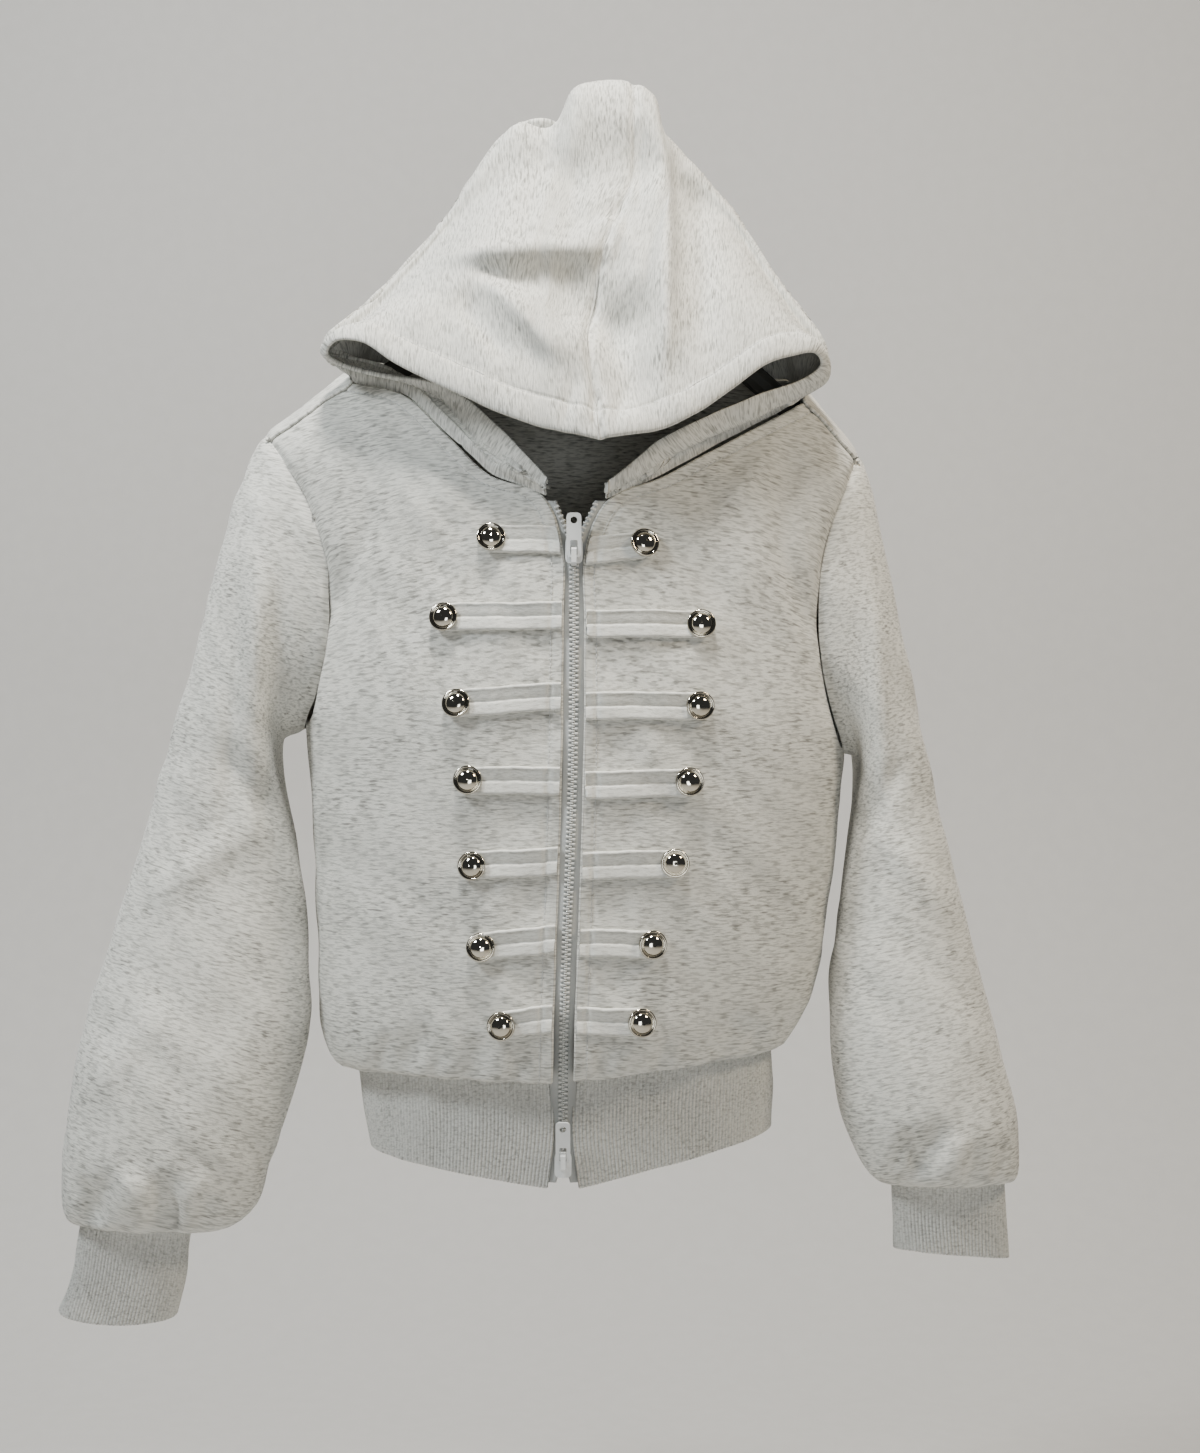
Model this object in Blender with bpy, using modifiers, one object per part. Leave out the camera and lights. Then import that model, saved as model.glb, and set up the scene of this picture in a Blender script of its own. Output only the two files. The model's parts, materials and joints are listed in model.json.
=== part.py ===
"""A ribbed zip hoodie with frogged straps, hung by its hood on a plain hanger.

The cloth is a wall of true thickness. Every panel is a grid of points worked out from
short tables of sections, closed with an inner face, and parted from its neighbour by a
seam gap. The origin is where the rail's top carries the cloth under the hook, +X is the
viewer's right, -Y is towards the viewer and +Z is up.

Tables and sizes are in millimetres; MM turns them into metres.
"""

import math

import bmesh
import bpy
import numpy as np
from mathutils import Matrix, Vector

MM = 0.001
SEAM_GAP = 0.3            # between two panels, and between a piece and what it lies on

# Cloth
CLOTH = 2.2               # wall of the heather double knit
RIB_CLOTH = 1.6           # wall of the rib, under its raised ribs
RIB_HEIGHT = 0.7
RIB_CELL = 6              # outer steps of a rib piece to one step of its inner face
HEM_PITCH = 3.6           # one rib and one furrow of the hem
CUFF_PITCH = 3.4
BAND_STAND = 5.0          # how steeply the hood's lower band leaves the neck seam
NECK_LIFT = 1.4           # of the hood over the shoulders' cloth edge

# Zip
ZIP_OPENING = 11.0        # between the two cloth edges
TAPE_THICK = 0.9
CHAIN_WIDTH = 5.6
CHAIN_THICK = 3.0

# Straps and buttons
STRAP_WIDTH = 16.5
STRAP_THICK = 2.4
STRAP_GROOVE = 1.0
STRAP_POINT = 6.0
STRAP_INSET = 1.5         # of its ends from the zip's cloth edge and past the button
STRAP_EDGE_DROP = 0.8     # of its long edges under its lanes
STRAP_TIP = 0.16          # share of the width left at the point
BUTTON_RADIUS = 8.8
BUTTON_RIM = 1.5
BUTTON_DOME = 5.2
BUTTON_SEAT = 1.6
BUTTON_SIDES = 14

# Hanger
WIRE_RADIUS = 2.5
CROOK_RADIUS = 24.0       # of the wire's middle
CROOK_TIP = -17.0         # how low the crook's free end reaches
RAIL_Y = 18.0             # of the crook's middle, over the rail's
ARM_THICK = 12.0
ARM_HEIGHT = 18.0
ARM_THINNING = 0.25       # share of the height that is gone at the arm's end
ARM_SIDES = 10

# One half of the front: a row for each section, bottom first. The inner end lies on the
# zip's cloth edge and the outer end on the side seam; turn is how far the section turns.
# Columns: inner_x, inner_y, inner_z, outer_x, outer_z, turn.
LEFT_FRONT = {
    "rib seam": (-32.0, -60.0, -591.0, -157.0, -590.0, 86.0),
    "fold": (-32.0, -71.0, -604.0, -170.0, -599.0, 86.0),
    "bulge": (-31.5, -78.0, -590.0, -181.0, -584.0, 86.0),
    "hip": (-30.5, -82.0, -550.0, -184.5, -545.0, 88.0),
    "waist": (-27.5, -86.0, -470.0, -187.0, -466.0, 88.0),
    "chest": (-25.5, -89.0, -395.0, -193.0, -389.0, 88.0),
}
RIGHT_FRONT = {
    "rib seam": (-21.0, -60.0, -591.0, 103.0, -580.0, 86.0),
    "fold": (-21.0, -71.0, -602.0, 112.0, -588.0, 86.0),
    "bulge": (-20.5, -78.0, -588.0, 124.0, -572.0, 86.0),
    "hip": (-19.5, -82.0, -550.0, 136.0, -543.0, 88.0),
    "waist": (-16.5, -86.0, -470.0, 147.0, -468.0, 88.0),
    "chest": (-14.5, -89.0, -395.0, 153.0, -404.0, 88.0),
}
SIDE_SEAM_Y = 2.0
ZIP_TOP_DEG = 100           # round the armhole, level with the zip's top
# Above the chest the inner end climbs the zip and then the neckline, while the outer end
# follows the armhole, at this angle down from the shoulder tip.
# Columns: inner_x, inner_y, inner_z, armhole_deg, turn.
LEFT_YOKE = {
    "breast": (-25.0, -88.0, -330.0, 145.0, 74.0),
    "strap": (-25.0, -84.5, -280.0, 120.0, 62.0),
    "zip top": (-37.0, -79.0, -246.0, 100.0, 55.0),
    "throat": (-70.0, -73.0, -232.0, 80.0, 50.0),
    "neck": (-95.0, -63.0, -208.0, 60.0, 45.0),
    "collar": (-124.0, -48.0, -180.0, 40.0, 40.0),
    "shoulder": (-161.0, -30.0, -169.0, 20.0, 34.0),
}
RIGHT_YOKE = {
    "breast": (-14.0, -88.0, -330.0, 145.0, 74.0),
    "strap": (-14.0, -84.5, -280.0, 120.0, 62.0),
    "zip top": (0.0, -79.0, -248.0, 100.0, 55.0),
    "throat": (32.0, -73.0, -234.0, 80.0, 50.0),
    "neck": (64.0, -63.0, -216.0, 60.0, 45.0),
    "collar": (96.0, -48.0, -198.0, 40.0, 40.0),
    "shoulder": (126.0, -30.0, -181.0, 20.0, 34.0),
}
# The back between the side seams: how deep its middle stands and how high it lies.
# Columns: middle_y, middle_z.
BACK = {
    "rib seam": (56.0, -586.0),
    "fold": (66.0, -597.0),
    "bulge": (73.0, -582.0),
    "hip": (75.0, -548.0),
    "waist": (74.0, -470.0),
    "chest": (73.0, -396.0),
}
# Above the chest each row runs from armhole to neck point, then along the neck. in_x is
# measured from the front's neck point towards the middle, up_z from its height.
# Columns: armhole_deg, in_x, y, up_z, side_in_x, side_y, side_up_z, middle_y, middle_z.
NAPE = {
    "blade": (-110.0, 30.0, 60.0, -122.0, 62.0, 67.0, -124.0, 71.0, -318.0),
    "upper": (-66.0, 14.0, 51.0, -56.0, 42.0, 58.0, -56.0, 63.0, -238.0),
    "behind": (-30.0, 1.0, 30.0, -2.0, 22.0, 45.0, -8.0, 54.0, -192.0),
    "ridge": (0.0, -2.0, 4.0, 15.0, 12.0, 27.0, 10.0, 50.0, -173.0),
    "seam": (20.0, 0.0, -30.0, 0.0, 8.0, 2.0, 18.0, 46.0, -160.0),
}

# A sleeve: a row for each ring from the armhole down. The outer point lies over the arm,
# the inner one under it; bow draws the ring's front and back towards the body.
# Columns: outer_x, outer_z, inner_x, inner_z, mid_y, depth, bow.
LEFT_SLEEVE = {
    "head": (-219.0, -199.0, -193.0, -389.0, 2.0, 46.0, 33.0),
    "cap": (-231.0, -224.0, -206.0, -392.0, 2.0, 46.0, 20.0),
    "upper": (-243.0, -262.0, -210.0, -401.0, 1.0, 43.0, 9.0),
    "biceps": (-262.0, -335.0, -205.0, -428.0, 0.0, 40.0, 2.0),
    "elbow": (-285.0, -419.0, -196.0, -470.0, 0.0, 40.0, 0.0),
    "forearm": (-306.0, -490.0, -190.5, -520.0, -2.0, 42.0, 0.0),
    "lower": (-328.0, -560.0, -189.0, -565.0, -4.0, 45.0, 0.0),
    "puff": (-338.0, -605.0, -195.0, -605.0, -6.0, 47.0, 0.0),
    "bell": (-345.0, -655.0, -210.0, -652.0, -8.0, 45.0, 0.0),
    "fold": (-344.0, -696.0, -231.0, -702.0, -8.0, 37.0, 0.0),
    "cuff seam": (-333.5, -692.0, -263.0, -696.0, -8.0, 21.0, 0.0),
}
RIGHT_SLEEVE = {
    "head": (164.0, -211.0, 153.0, -404.0, 2.0, 46.0, 26.0),
    "cap": (170.0, -236.0, 160.0, -404.0, 2.0, 46.0, 17.0),
    "upper": (177.0, -268.0, 162.0, -412.0, 1.0, 43.0, 9.0),
    "biceps": (191.0, -335.0, 158.0, -434.0, 0.0, 40.0, 2.0),
    "elbow": (208.0, -419.0, 153.0, -472.0, 0.0, 40.0, 0.0),
    "forearm": (226.0, -490.0, 147.0, -515.0, -2.0, 42.0, 0.0),
    "lower": (243.0, -560.0, 142.5, -552.0, -4.0, 45.0, 0.0),
    "puff": (253.0, -598.0, 144.0, -592.0, -6.0, 46.0, 0.0),
    "bell": (262.0, -640.0, 151.0, -636.0, -8.0, 44.0, 0.0),
    "fold": (261.0, -671.0, 169.0, -673.0, -8.0, 37.0, 0.0),
    "cuff seam": (253.5, -667.0, 181.0, -667.0, -8.0, 21.0, 0.0),
}
# A cuff below its seam: the x and z of both sides, how far its middle hangs below them,
# the y of its middle, and its depth.
# Columns: left_x, left_z, right_x, right_z, sag, mid_y, depth.
LEFT_CUFF = {
    "waist": (-338.0, -728.0, -268.0, -732.0, 2.0, -7.0, 17.0),
    "edge": (-347.0, -756.0, -273.5, -758.0, 5.0, -7.0, 15.0),
}
RIGHT_CUFF = {
    "waist": (183.0, -694.0, 254.0, -696.0, 0.0, -7.0, 17.0),
    "edge": (184.0, -716.0, 256.0, -722.0, -1.0, -7.0, 15.0),
}
# Columns: left_x, left_z, right_x, right_z, front_z, front_y, back_y, left_zip_x,
# right_zip_x.
HEM = {
    "waist": (-154.5, -622.0, 106.0, -612.0, -632.0, -58.0, 53.0, -32.6, -20.4),
    "edge": (-150.0, -652.0, 106.0, -640.0, -669.0, -55.0, 48.0, -36.6, -16.4),
}
RIB_INSET = 1.4           # of a rib piece's seam behind the fold of its cloth
RIB_DROP = 0.5
CUFF_POINTS = 72          # round a cuff's ring, before its ribs are spaced
HEM_POINTS = 24           # along a quarter of the hem
HEM_TURN = 86.0
HEM_BACK_DROP = 4.0       # of the hem's middle behind, under its sides

# The hood: a row for each strip from neck seam to face edge, zip end first. neck is how
# far along its half of the neck seam the strip starts. The ridge is the strip's highest
# line, between back layer and front layer; loft is how far the front layer swells, and
# swing how far its middle lies to the side.
# Columns: neck, ridge_x, ridge_y, ridge_z, edge_x, edge_y, edge_z, loft, swing.
LEFT_HOOD = {
    "zip end": (0.0, -37.0, -81.0, -240.0, -36.0, -83.0, -235.0, 0.0, 0.0),
    "throat": (0.08, -56.0, -75.0, -227.0, -50.0, -80.0, -219.0, 1.0, 0.0),
    "roll": (0.16, -79.0, -64.0, -210.0, -72.0, -73.0, -197.0, 2.0, 0.0),
    "tuck": (0.24, -98.0, -50.0, -186.0, -98.0, -63.0, -177.0, 2.0, 0.0),
    "side": (0.35, -136.0, -34.0, -162.0, -138.0, -53.0, -169.0, 3.0, 0.0),
    "corner": (0.43, -174.0, -32.0, -147.0, -170.0, -54.0, -161.0, 4.0, 0.0),
    "turn": (0.49, -170.0, -34.0, -136.0, -168.0, -66.0, -149.0, 6.0, 0.0),
    "slope": (0.55, -148.0, -26.0, -116.0, -148.0, -76.0, -151.0, 8.0, 0.0),
    "mid": (0.61, -122.0, -16.0, -86.0, -124.0, -84.0, -167.0, 9.0, 0.0),
    "high": (0.67, -92.0, -8.0, -48.0, -96.0, -91.0, -181.0, 10.0, 0.0),
    "shelf": (0.73, -66.0, -2.0, -5.0, -66.0, -98.0, -196.0, 10.0, -2.0),
    "bump side": (0.80, -34.0, 1.0, 2.0, -42.0, -103.0, -205.0, 8.0, -6.0),
    "centre": (1.0, 18.0, 3.0, 1.0, -4.0, -109.0, -214.0, 6.0, -16.0),
}
RIGHT_HOOD = {
    "zip end": (0.0, 0.0, -82.0, -242.0, 1.0, -85.0, -237.0, 0.0, 0.0),
    "throat": (0.08, 20.0, -80.0, -230.0, 18.0, -84.0, -223.0, 1.0, 0.0),
    "roll": (0.16, 40.0, -76.0, -217.0, 34.0, -80.0, -210.0, 2.0, 0.0),
    "tuck": (0.24, 66.0, -69.0, -205.0, 60.0, -74.0, -197.0, 2.0, 0.0),
    "side": (0.35, 94.0, -60.0, -192.0, 94.0, -68.0, -182.0, 3.0, 0.0),
    "corner": (0.43, 134.0, -40.0, -165.0, 128.0, -58.0, -168.0, 4.0, 0.0),
    "turn": (0.49, 135.0, -36.0, -143.0, 129.0, -66.0, -157.0, 6.0, 0.0),
    "slope": (0.55, 117.0, -28.0, -116.0, 112.0, -76.0, -160.0, 8.0, 0.0),
    "mid": (0.61, 98.0, -18.0, -86.0, 93.0, -84.0, -168.0, 9.0, 0.0),
    "high": (0.67, 76.0, -9.0, -50.0, 70.0, -91.0, -186.0, 10.0, 0.0),
    "shelf": (0.73, 57.0, -3.0, -28.0, 49.0, -98.0, -200.0, 10.0, -2.0),
    "bump side": (0.80, 39.0, 0.0, -8.0, 30.0, -103.0, -208.0, 8.0, -6.0),
    "centre": (1.0, 18.0, 3.0, 1.0, -4.0, -109.0, -214.0, 6.0, -16.0),
}
# The pouch of cloth over the hook: the path of its middle from the rail's front, over
# the rail, round the hook's end and back over its top, beside the plain ridge's path.
POUCH_MIDDLE_X = 3.0
POUCH_HALF = 35.0
POUCH_ROUND = 11.0        # how far its crown falls off to the sides
# Columns: pouch_y, pouch_z, ridge_y, ridge_z.
POUCH = {
    "rail foot": (-1.0, -34.0, -3.0, -35.0),
    "rail front": (-1.0, -19.0, -3.5, -22.0),
    "rail corner": (4.6, -5.6, -4.0, -11.0),
    "rail top": (18.0, 0.0, -4.0, -4.0),
    "rail far corner": (31.4, -5.6, -3.5, -1.5),
    "rail back": (37.0, -19.0, -3.0, -0.6),
    "under hook end": (42.0, -32.0, -2.0, -0.2),
    "behind hook end": (49.0, -24.0, -1.0, 0.0),
    "hook back": (52.0, -4.0, 0.0, 0.0),
    "crown back": (43.0, 16.0, -1.0, 0.0),
    "crown": (24.0, 28.0, -2.5, -0.2),
    "brow": (4.0, 30.0, -5.0, -1.0),
    "forehead": (-12.0, 19.0, -9.0, -5.0),
    "front top": (-19.0, -4.0, -14.0, -16.0),
    "front": (-22.0, -34.0, -19.0, -34.0),
}
# Columns: x, z.
LEFT_ARM = {"root": (3.0, -98.0), "collar": (-60.0, -114.0), "middle": (-115.0, -138.0),
            "shoulder": (-155.0, -160.8), "end": (-188.0, -185.0)}
RIGHT_ARM = {"root": (3.0, -98.0), "collar": (45.0, -115.0), "middle": (88.0, -146.0),
             "shoulder": (118.0, -172.0), "end": (136.0, -189.0)}

# Large folds as seen from the front or from behind: the fold's middle, half of its run
# along x and z, its half width, and how far it stands out (a trough is negative).
# Columns: x, z, run_x, run_z, half_width, rise.
FRONT_FOLDS = {
    "hood brow": (-50.0, -86.0, 55.0, 6.0, 15.0, 4.0),
    "hood hollow": (-45.0, -112.0, 60.0, 14.0, 16.0, -5.0),
    "hood drape": (-38.0, -138.0, 26.0, -32.0, 12.0, 4.0),
    "hood right break": (36.0, -90.0, 5.0, 70.0, 12.0, 4.0),
    "left breast": (-110.0, -255.0, 20.0, -38.0, 16.0, 2.0),
    "right breast": (88.0, -265.0, 10.0, 40.0, 16.0, 2.0),
    "left sleeve long": (-221.0, -320.0, 10.0, 95.0, 15.0, 4.0),
    "left sleeve gather": (-316.0, -682.0, 10.0, 18.0, 9.0, -6.0),
    "left sleeve pinch": (-276.0, -684.0, 4.0, 20.0, 9.0, -7.0),
    "right sleeve gather": (196.0, -655.0, 12.0, 22.0, 9.0, -6.0),
    "right sleeve pinch": (228.0, -660.0, 4.0, 16.0, 9.0, -4.0),
    "left hip": (-120.0, -585.0, 12.0, 16.0, 10.0, -4.0),
    "left hem pinch": (-80.0, -590.0, 3.0, 16.0, 8.0, -4.0),
    "right hip": (78.0, -580.0, 10.0, 16.0, 10.0, -4.0),
}
BACK_FOLDS = {
    "left blade": (-105.0, -300.0, 20.0, -60.0, 18.0, 4.0),
    "right blade": (68.0, -305.0, 18.0, 60.0, 18.0, 4.0),
    "small of back": (-25.0, -520.0, 70.0, 8.0, 16.0, -4.0),
    "left back hip": (-110.0, -580.0, 8.0, 18.0, 10.0, -4.0),
    "right back hip": (60.0, -575.0, 8.0, 18.0, 10.0, -4.0),
    "left sleeve back": (-255.0, -520.0, 18.0, 90.0, 16.0, 4.0),
    "right sleeve back": (195.0, -520.0, 14.0, 90.0, 16.0, 4.0),
    "left cuff back": (-300.0, -680.0, 4.0, 20.0, 9.0, -6.0),
    "right cuff back": (216.0, -655.0, 4.0, 20.0, 9.0, -6.0),
}

# How finely the cloth is divided
SIDE_ROWS = 9             # rows of the body below the underarm
ARMHOLE_STEP = 20         # degrees between rows round an armhole
FRONT_ACROSS = 6          # columns of a half front, and of the back over each shoulder
NAPE_ACROSS = 12          # columns of the back between the neck points
SLEEVE_ROWS = 15
STRIPS_PER_NECK_STEP = 2
HOOD_BACK_ROWS = 4
HOOD_TOP_ROWS = 11
HOOD_FRONT_ROWS = 6
SECTION_SQUARE = 0.86     # under 1 makes a section flatter in front

CLOTH_COLOUR = (0.72, 0.72, 0.70, 1.0)
RIB_COLOUR = (0.62, 0.62, 0.60, 1.0)
ZIP_COLOUR = (0.78, 0.79, 0.78, 1.0)
NICKEL_COLOUR = (0.62, 0.60, 0.56, 1.0)
HANGER_COLOUR = (0.10, 0.10, 0.10, 1.0)


# ---- scene and materials -------------------------------------------------------------

def clear_scene():
    for obj in list(bpy.data.objects):
        bpy.data.objects.remove(obj, do_unlink=True)


def make_collection(name):
    collection = bpy.data.collections.new(name)
    bpy.context.scene.collection.children.link(collection)
    return collection


def make_material(name, colour, roughness, metallic=0.0):
    material = bpy.data.materials.new(name)
    material.use_nodes = True
    shader = material.node_tree.nodes["Principled BSDF"]
    shader.inputs["Base Color"].default_value = colour
    shader.inputs["Roughness"].default_value = roughness
    shader.inputs["Metallic"].default_value = metallic
    return material


def add_object(name, mesh, material, collection, smooth_deg=40.0):
    """Link a mesh as one named piece, smooth except at its sharp edges."""
    mesh.materials.clear()
    mesh.materials.append(material)
    obj = bpy.data.objects.new(name, mesh)
    collection.objects.link(obj)
    mesh.shade_smooth()
    mesh.set_sharp_from_angle(angle=math.radians(smooth_deg))
    return obj


# ---- curves and tables ---------------------------------------------------------------

def rows_of(table):
    return np.array(list(table.values()), float)


def through(knots, at):
    """Points of the Catmull-Rom curve through the knots, at places in knot steps."""
    knots = np.asarray(knots, float)
    last = len(knots) - 1
    at = np.clip(np.asarray(at, float), 0.0, last)
    start = np.minimum(at.astype(int), last - 1)
    part = (at - start).reshape((-1,) + (1,) * (knots.ndim - 1))
    before = knots[np.maximum(start - 1, 0)]
    here = knots[start]
    there = knots[start + 1]
    after = knots[np.minimum(start + 2, last)]
    return here + 0.5 * part * (
        there - before
        + part * (2 * before - 5 * here + 4 * there - after
                  + part * (3 * (here - there) + after - before))
    )


def even(knots, count):
    """count + 1 points evenly spread over the knots' steps."""
    return through(knots, np.linspace(0.0, len(knots) - 1.0, count + 1))


def unit(vectors):
    return vectors / np.maximum(np.linalg.norm(vectors, axis=-1, keepdims=True), 1e-9)


def smooth_step(value):
    value = np.clip(value, 0.0, 1.0)
    return value * value * (3.0 - 2.0 * value)


# ---- cloth ---------------------------------------------------------------------------

class Cloth:
    """The outer face of one panel: rows of points, with a normal at each of them."""

    def __init__(self, name, points, closed=False, flip=False, stands=False):
        self.name = name
        self.points = np.array(points, float)
        self.closed = closed
        self.flip = flip
        self.stands = stands        # its bottom edge stands on other panels' seam
        self.normals = self.measured_normals()

    def measured_normals(self):
        """Normals from the points' differences along rows and columns."""
        grid = self.points
        if self.closed:
            around = np.roll(grid, -1, axis=1) - np.roll(grid, 1, axis=1)
        else:
            around = np.gradient(grid, axis=1)
        along = np.gradient(grid, axis=0)
        normals = unit(np.cross(around, along))
        return -normals if self.flip else normals

    def bend(self, front_folds, back_folds):
        """Raise the large folds on the faces that look forward or back."""
        for folds, looks in ((front_folds, -1.0), (back_folds, 1.0)):
            facing = smooth_step(self.normals[..., 1] * looks * 2.0)
            for x, z, run_x, run_z, half_width, rise in folds.values():
                reach = math.hypot(run_x, run_z)
                off_x = self.points[..., 0] - x
                off_z = self.points[..., 2] - z
                along = (off_x * run_x + off_z * run_z) / reach / reach
                across = (off_z * run_x - off_x * run_z) / reach / half_width
                height = rise * np.exp(-across ** 2) * smooth_step(1.35 - np.abs(along))
                self.points += self.normals * (height * facing)[..., None]
        self.normals = self.measured_normals()

    def part_edge(self, side, gap=SEAM_GAP / 2.0):
        """Draw one edge back from its seam, square to the seam's normals."""
        edge, inner = {
            "bottom": (np.s_[0, :], np.s_[1, :]),
            "top": (np.s_[-1, :], np.s_[-2, :]),
            "left": (np.s_[:, 0], np.s_[:, 1]),
            "right": (np.s_[:, -1], np.s_[:, -2]),
        }[side]
        seam = self.points[edge]
        normal = self.normals[edge]
        if self.closed and side in ("bottom", "top"):
            run = np.roll(seam, -1, axis=0) - np.roll(seam, 1, axis=0)
        else:
            run = np.gradient(seam, axis=0)
        if side == "bottom" and self.stands:
            away = self.points[inner] - seam
            away -= normal * np.sum(away * normal, axis=-1, keepdims=True)
        else:
            away = np.cross(unit(run), normal)
        sign = np.sign(np.sum(away * (self.points[inner] - seam), axis=-1, keepdims=True))
        self.points[edge] = seam + unit(away) * sign * gap


def share_normals(cloths):
    """Give every point that lies in several panels the mean of their normals."""
    points = np.concatenate([cloth.points.reshape(-1, 3) for cloth in cloths])
    normals = np.concatenate([cloth.normals.reshape(-1, 3) for cloth in cloths])
    keys = np.round(points * 1000.0).astype(np.int64)
    _, index = np.unique(keys, axis=0, return_inverse=True)
    index = index.reshape(-1)
    total = np.zeros((index.max() + 1, 3))
    np.add.at(total, index, normals)
    shared = unit(total)[index]
    start = 0
    for cloth in cloths:
        count = cloth.points.shape[0] * cloth.points.shape[1]
        cloth.normals = shared[start:start + count].reshape(cloth.points.shape)
        start += count


def grid_faces(rows, columns, closed, first=0, reverse=False):
    """Quads of a grid of points stored row by row."""
    around = columns if closed else columns - 1
    faces = []
    for row in range(rows - 1):
        for column in range(around):
            right = (column + 1) % columns
            quad = (
                first + row * columns + column,
                first + row * columns + right,
                first + (row + 1) * columns + right,
                first + (row + 1) * columns + column,
            )
            faces.append(quad[::-1] if reverse else quad)
    return faces


def mesh_from(name, points, faces):
    """A mesh of closed faces, in metres, with its normals facing out."""
    mesh = bpy.data.meshes.new(name)
    mesh.from_pydata((np.asarray(points) * MM).tolist(), [], faces)
    form = bmesh.new()
    form.from_mesh(mesh)
    bmesh.ops.recalc_face_normals(form, faces=form.faces)
    if form.calc_volume(signed=True) < 0:
        bmesh.ops.reverse_faces(form, faces=form.faces)
    form.to_mesh(mesh)
    form.free()
    return mesh


def wall_mesh(cloth):
    """The panel as a closed wall: its face, its inner face and the rims between them."""
    rows, columns = cloth.points.shape[:2]
    inner = cloth.points - cloth.normals * CLOTH
    count = rows * columns
    points = np.concatenate([cloth.points.reshape(-1, 3), inner.reshape(-1, 3)])
    faces = grid_faces(rows, columns, cloth.closed)
    faces += grid_faces(rows, columns, cloth.closed, count, reverse=True)
    around = columns if cloth.closed else columns - 1
    for row in (0, rows - 1):
        for column in range(around):
            here = row * columns + column
            there = row * columns + (column + 1) % columns
            faces.append((here, there, count + there, count + here))
    if not cloth.closed:
        for column in (0, columns - 1):
            for row in range(rows - 1):
                here = row * columns + column
                there = here + columns
                faces.append((here, there, count + there, count + here))
    return mesh_from(cloth.name, points, faces)


# ---- body ----------------------------------------------------------------------------

def section_arc(inner, outer, turn_deg, count):
    """A section from its inner end, facing front or back, round to its outer end.

    With a = turn * u, the run towards the outer end is sin a / sin turn, and the depth
    falls from the inner end's to the outer end's as (cos a - cos turn) / (1 - cos turn).
    """
    turn = math.radians(turn_deg)
    angle = np.linspace(0.0, turn, count + 1)
    run = np.sin(angle) / math.sin(turn)
    depth = ((np.cos(angle) - math.cos(turn)) / (1.0 - math.cos(turn))) ** SECTION_SQUARE
    points = inner + (outer - inner) * run[:, None]
    points[:, 1] = outer[1] + (inner[1] - outer[1]) * depth
    return points


def sleeve_ring(row, angles_deg):
    """A ring of a sleeve: 0 is its outer point, 90 its front and 180 its inner point."""
    outer_x, outer_z, inner_x, inner_z, mid_y, depth, bow = row
    outer = np.array((outer_x, mid_y, outer_z))
    inner = np.array((inner_x, mid_y, inner_z))
    half = (outer - inner) / 2.0
    angle = np.radians(np.asarray(angles_deg, float))[:, None]
    across = np.array((-half[2], 0.0, half[0]))
    inward = unit(across * -math.copysign(1.0, across[0] * outer_x))
    forward = np.array((0.0, -depth, 0.0))
    return (
        (outer + inner) / 2.0
        + half * np.cos(angle)
        + forward * np.sign(np.sin(angle)) * np.abs(np.sin(angle)) ** SECTION_SQUARE
        + inward * bow * np.sin(angle) ** 2
    )


def armhole_rows(stop_deg):
    """The angles of the rows round an armhole, from under the arm on."""
    return np.arange(180 - ARMHOLE_STEP, stop_deg - 1, -ARMHOLE_STEP)


def front_rows(table, yoke, sleeve):
    """A half front's sections, from the rib seam up to the shoulder seam."""
    head = rows_of(sleeve)[0]
    rows = even(rows_of(table), SIDE_ROWS)
    sections = []
    for inner_x, inner_y, inner_z, outer_x, outer_z, turn in rows:
        sections.append(section_arc(
            np.array((inner_x, inner_y, inner_z)),
            np.array((outer_x, SIDE_SEAM_Y, outer_z)), turn, FRONT_ACROSS))
    chest = rows_of(table)[-1]
    knots = np.vstack([[*chest[:3], 180.0, chest[5]], rows_of(yoke)])
    place = np.arange(len(knots), dtype=float)
    for angle in armhole_rows(ARMHOLE_STEP):
        at = np.interp(-angle, -knots[:, 3], place)
        inner_x, inner_y, inner_z, _, turn = through(knots, [at])[0]
        outer = sleeve_ring(head, [angle])[0]
        sections.append(section_arc(
            np.array((inner_x, inner_y, inner_z)), outer, turn, FRONT_ACROSS))
    return np.array(sections)


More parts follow.
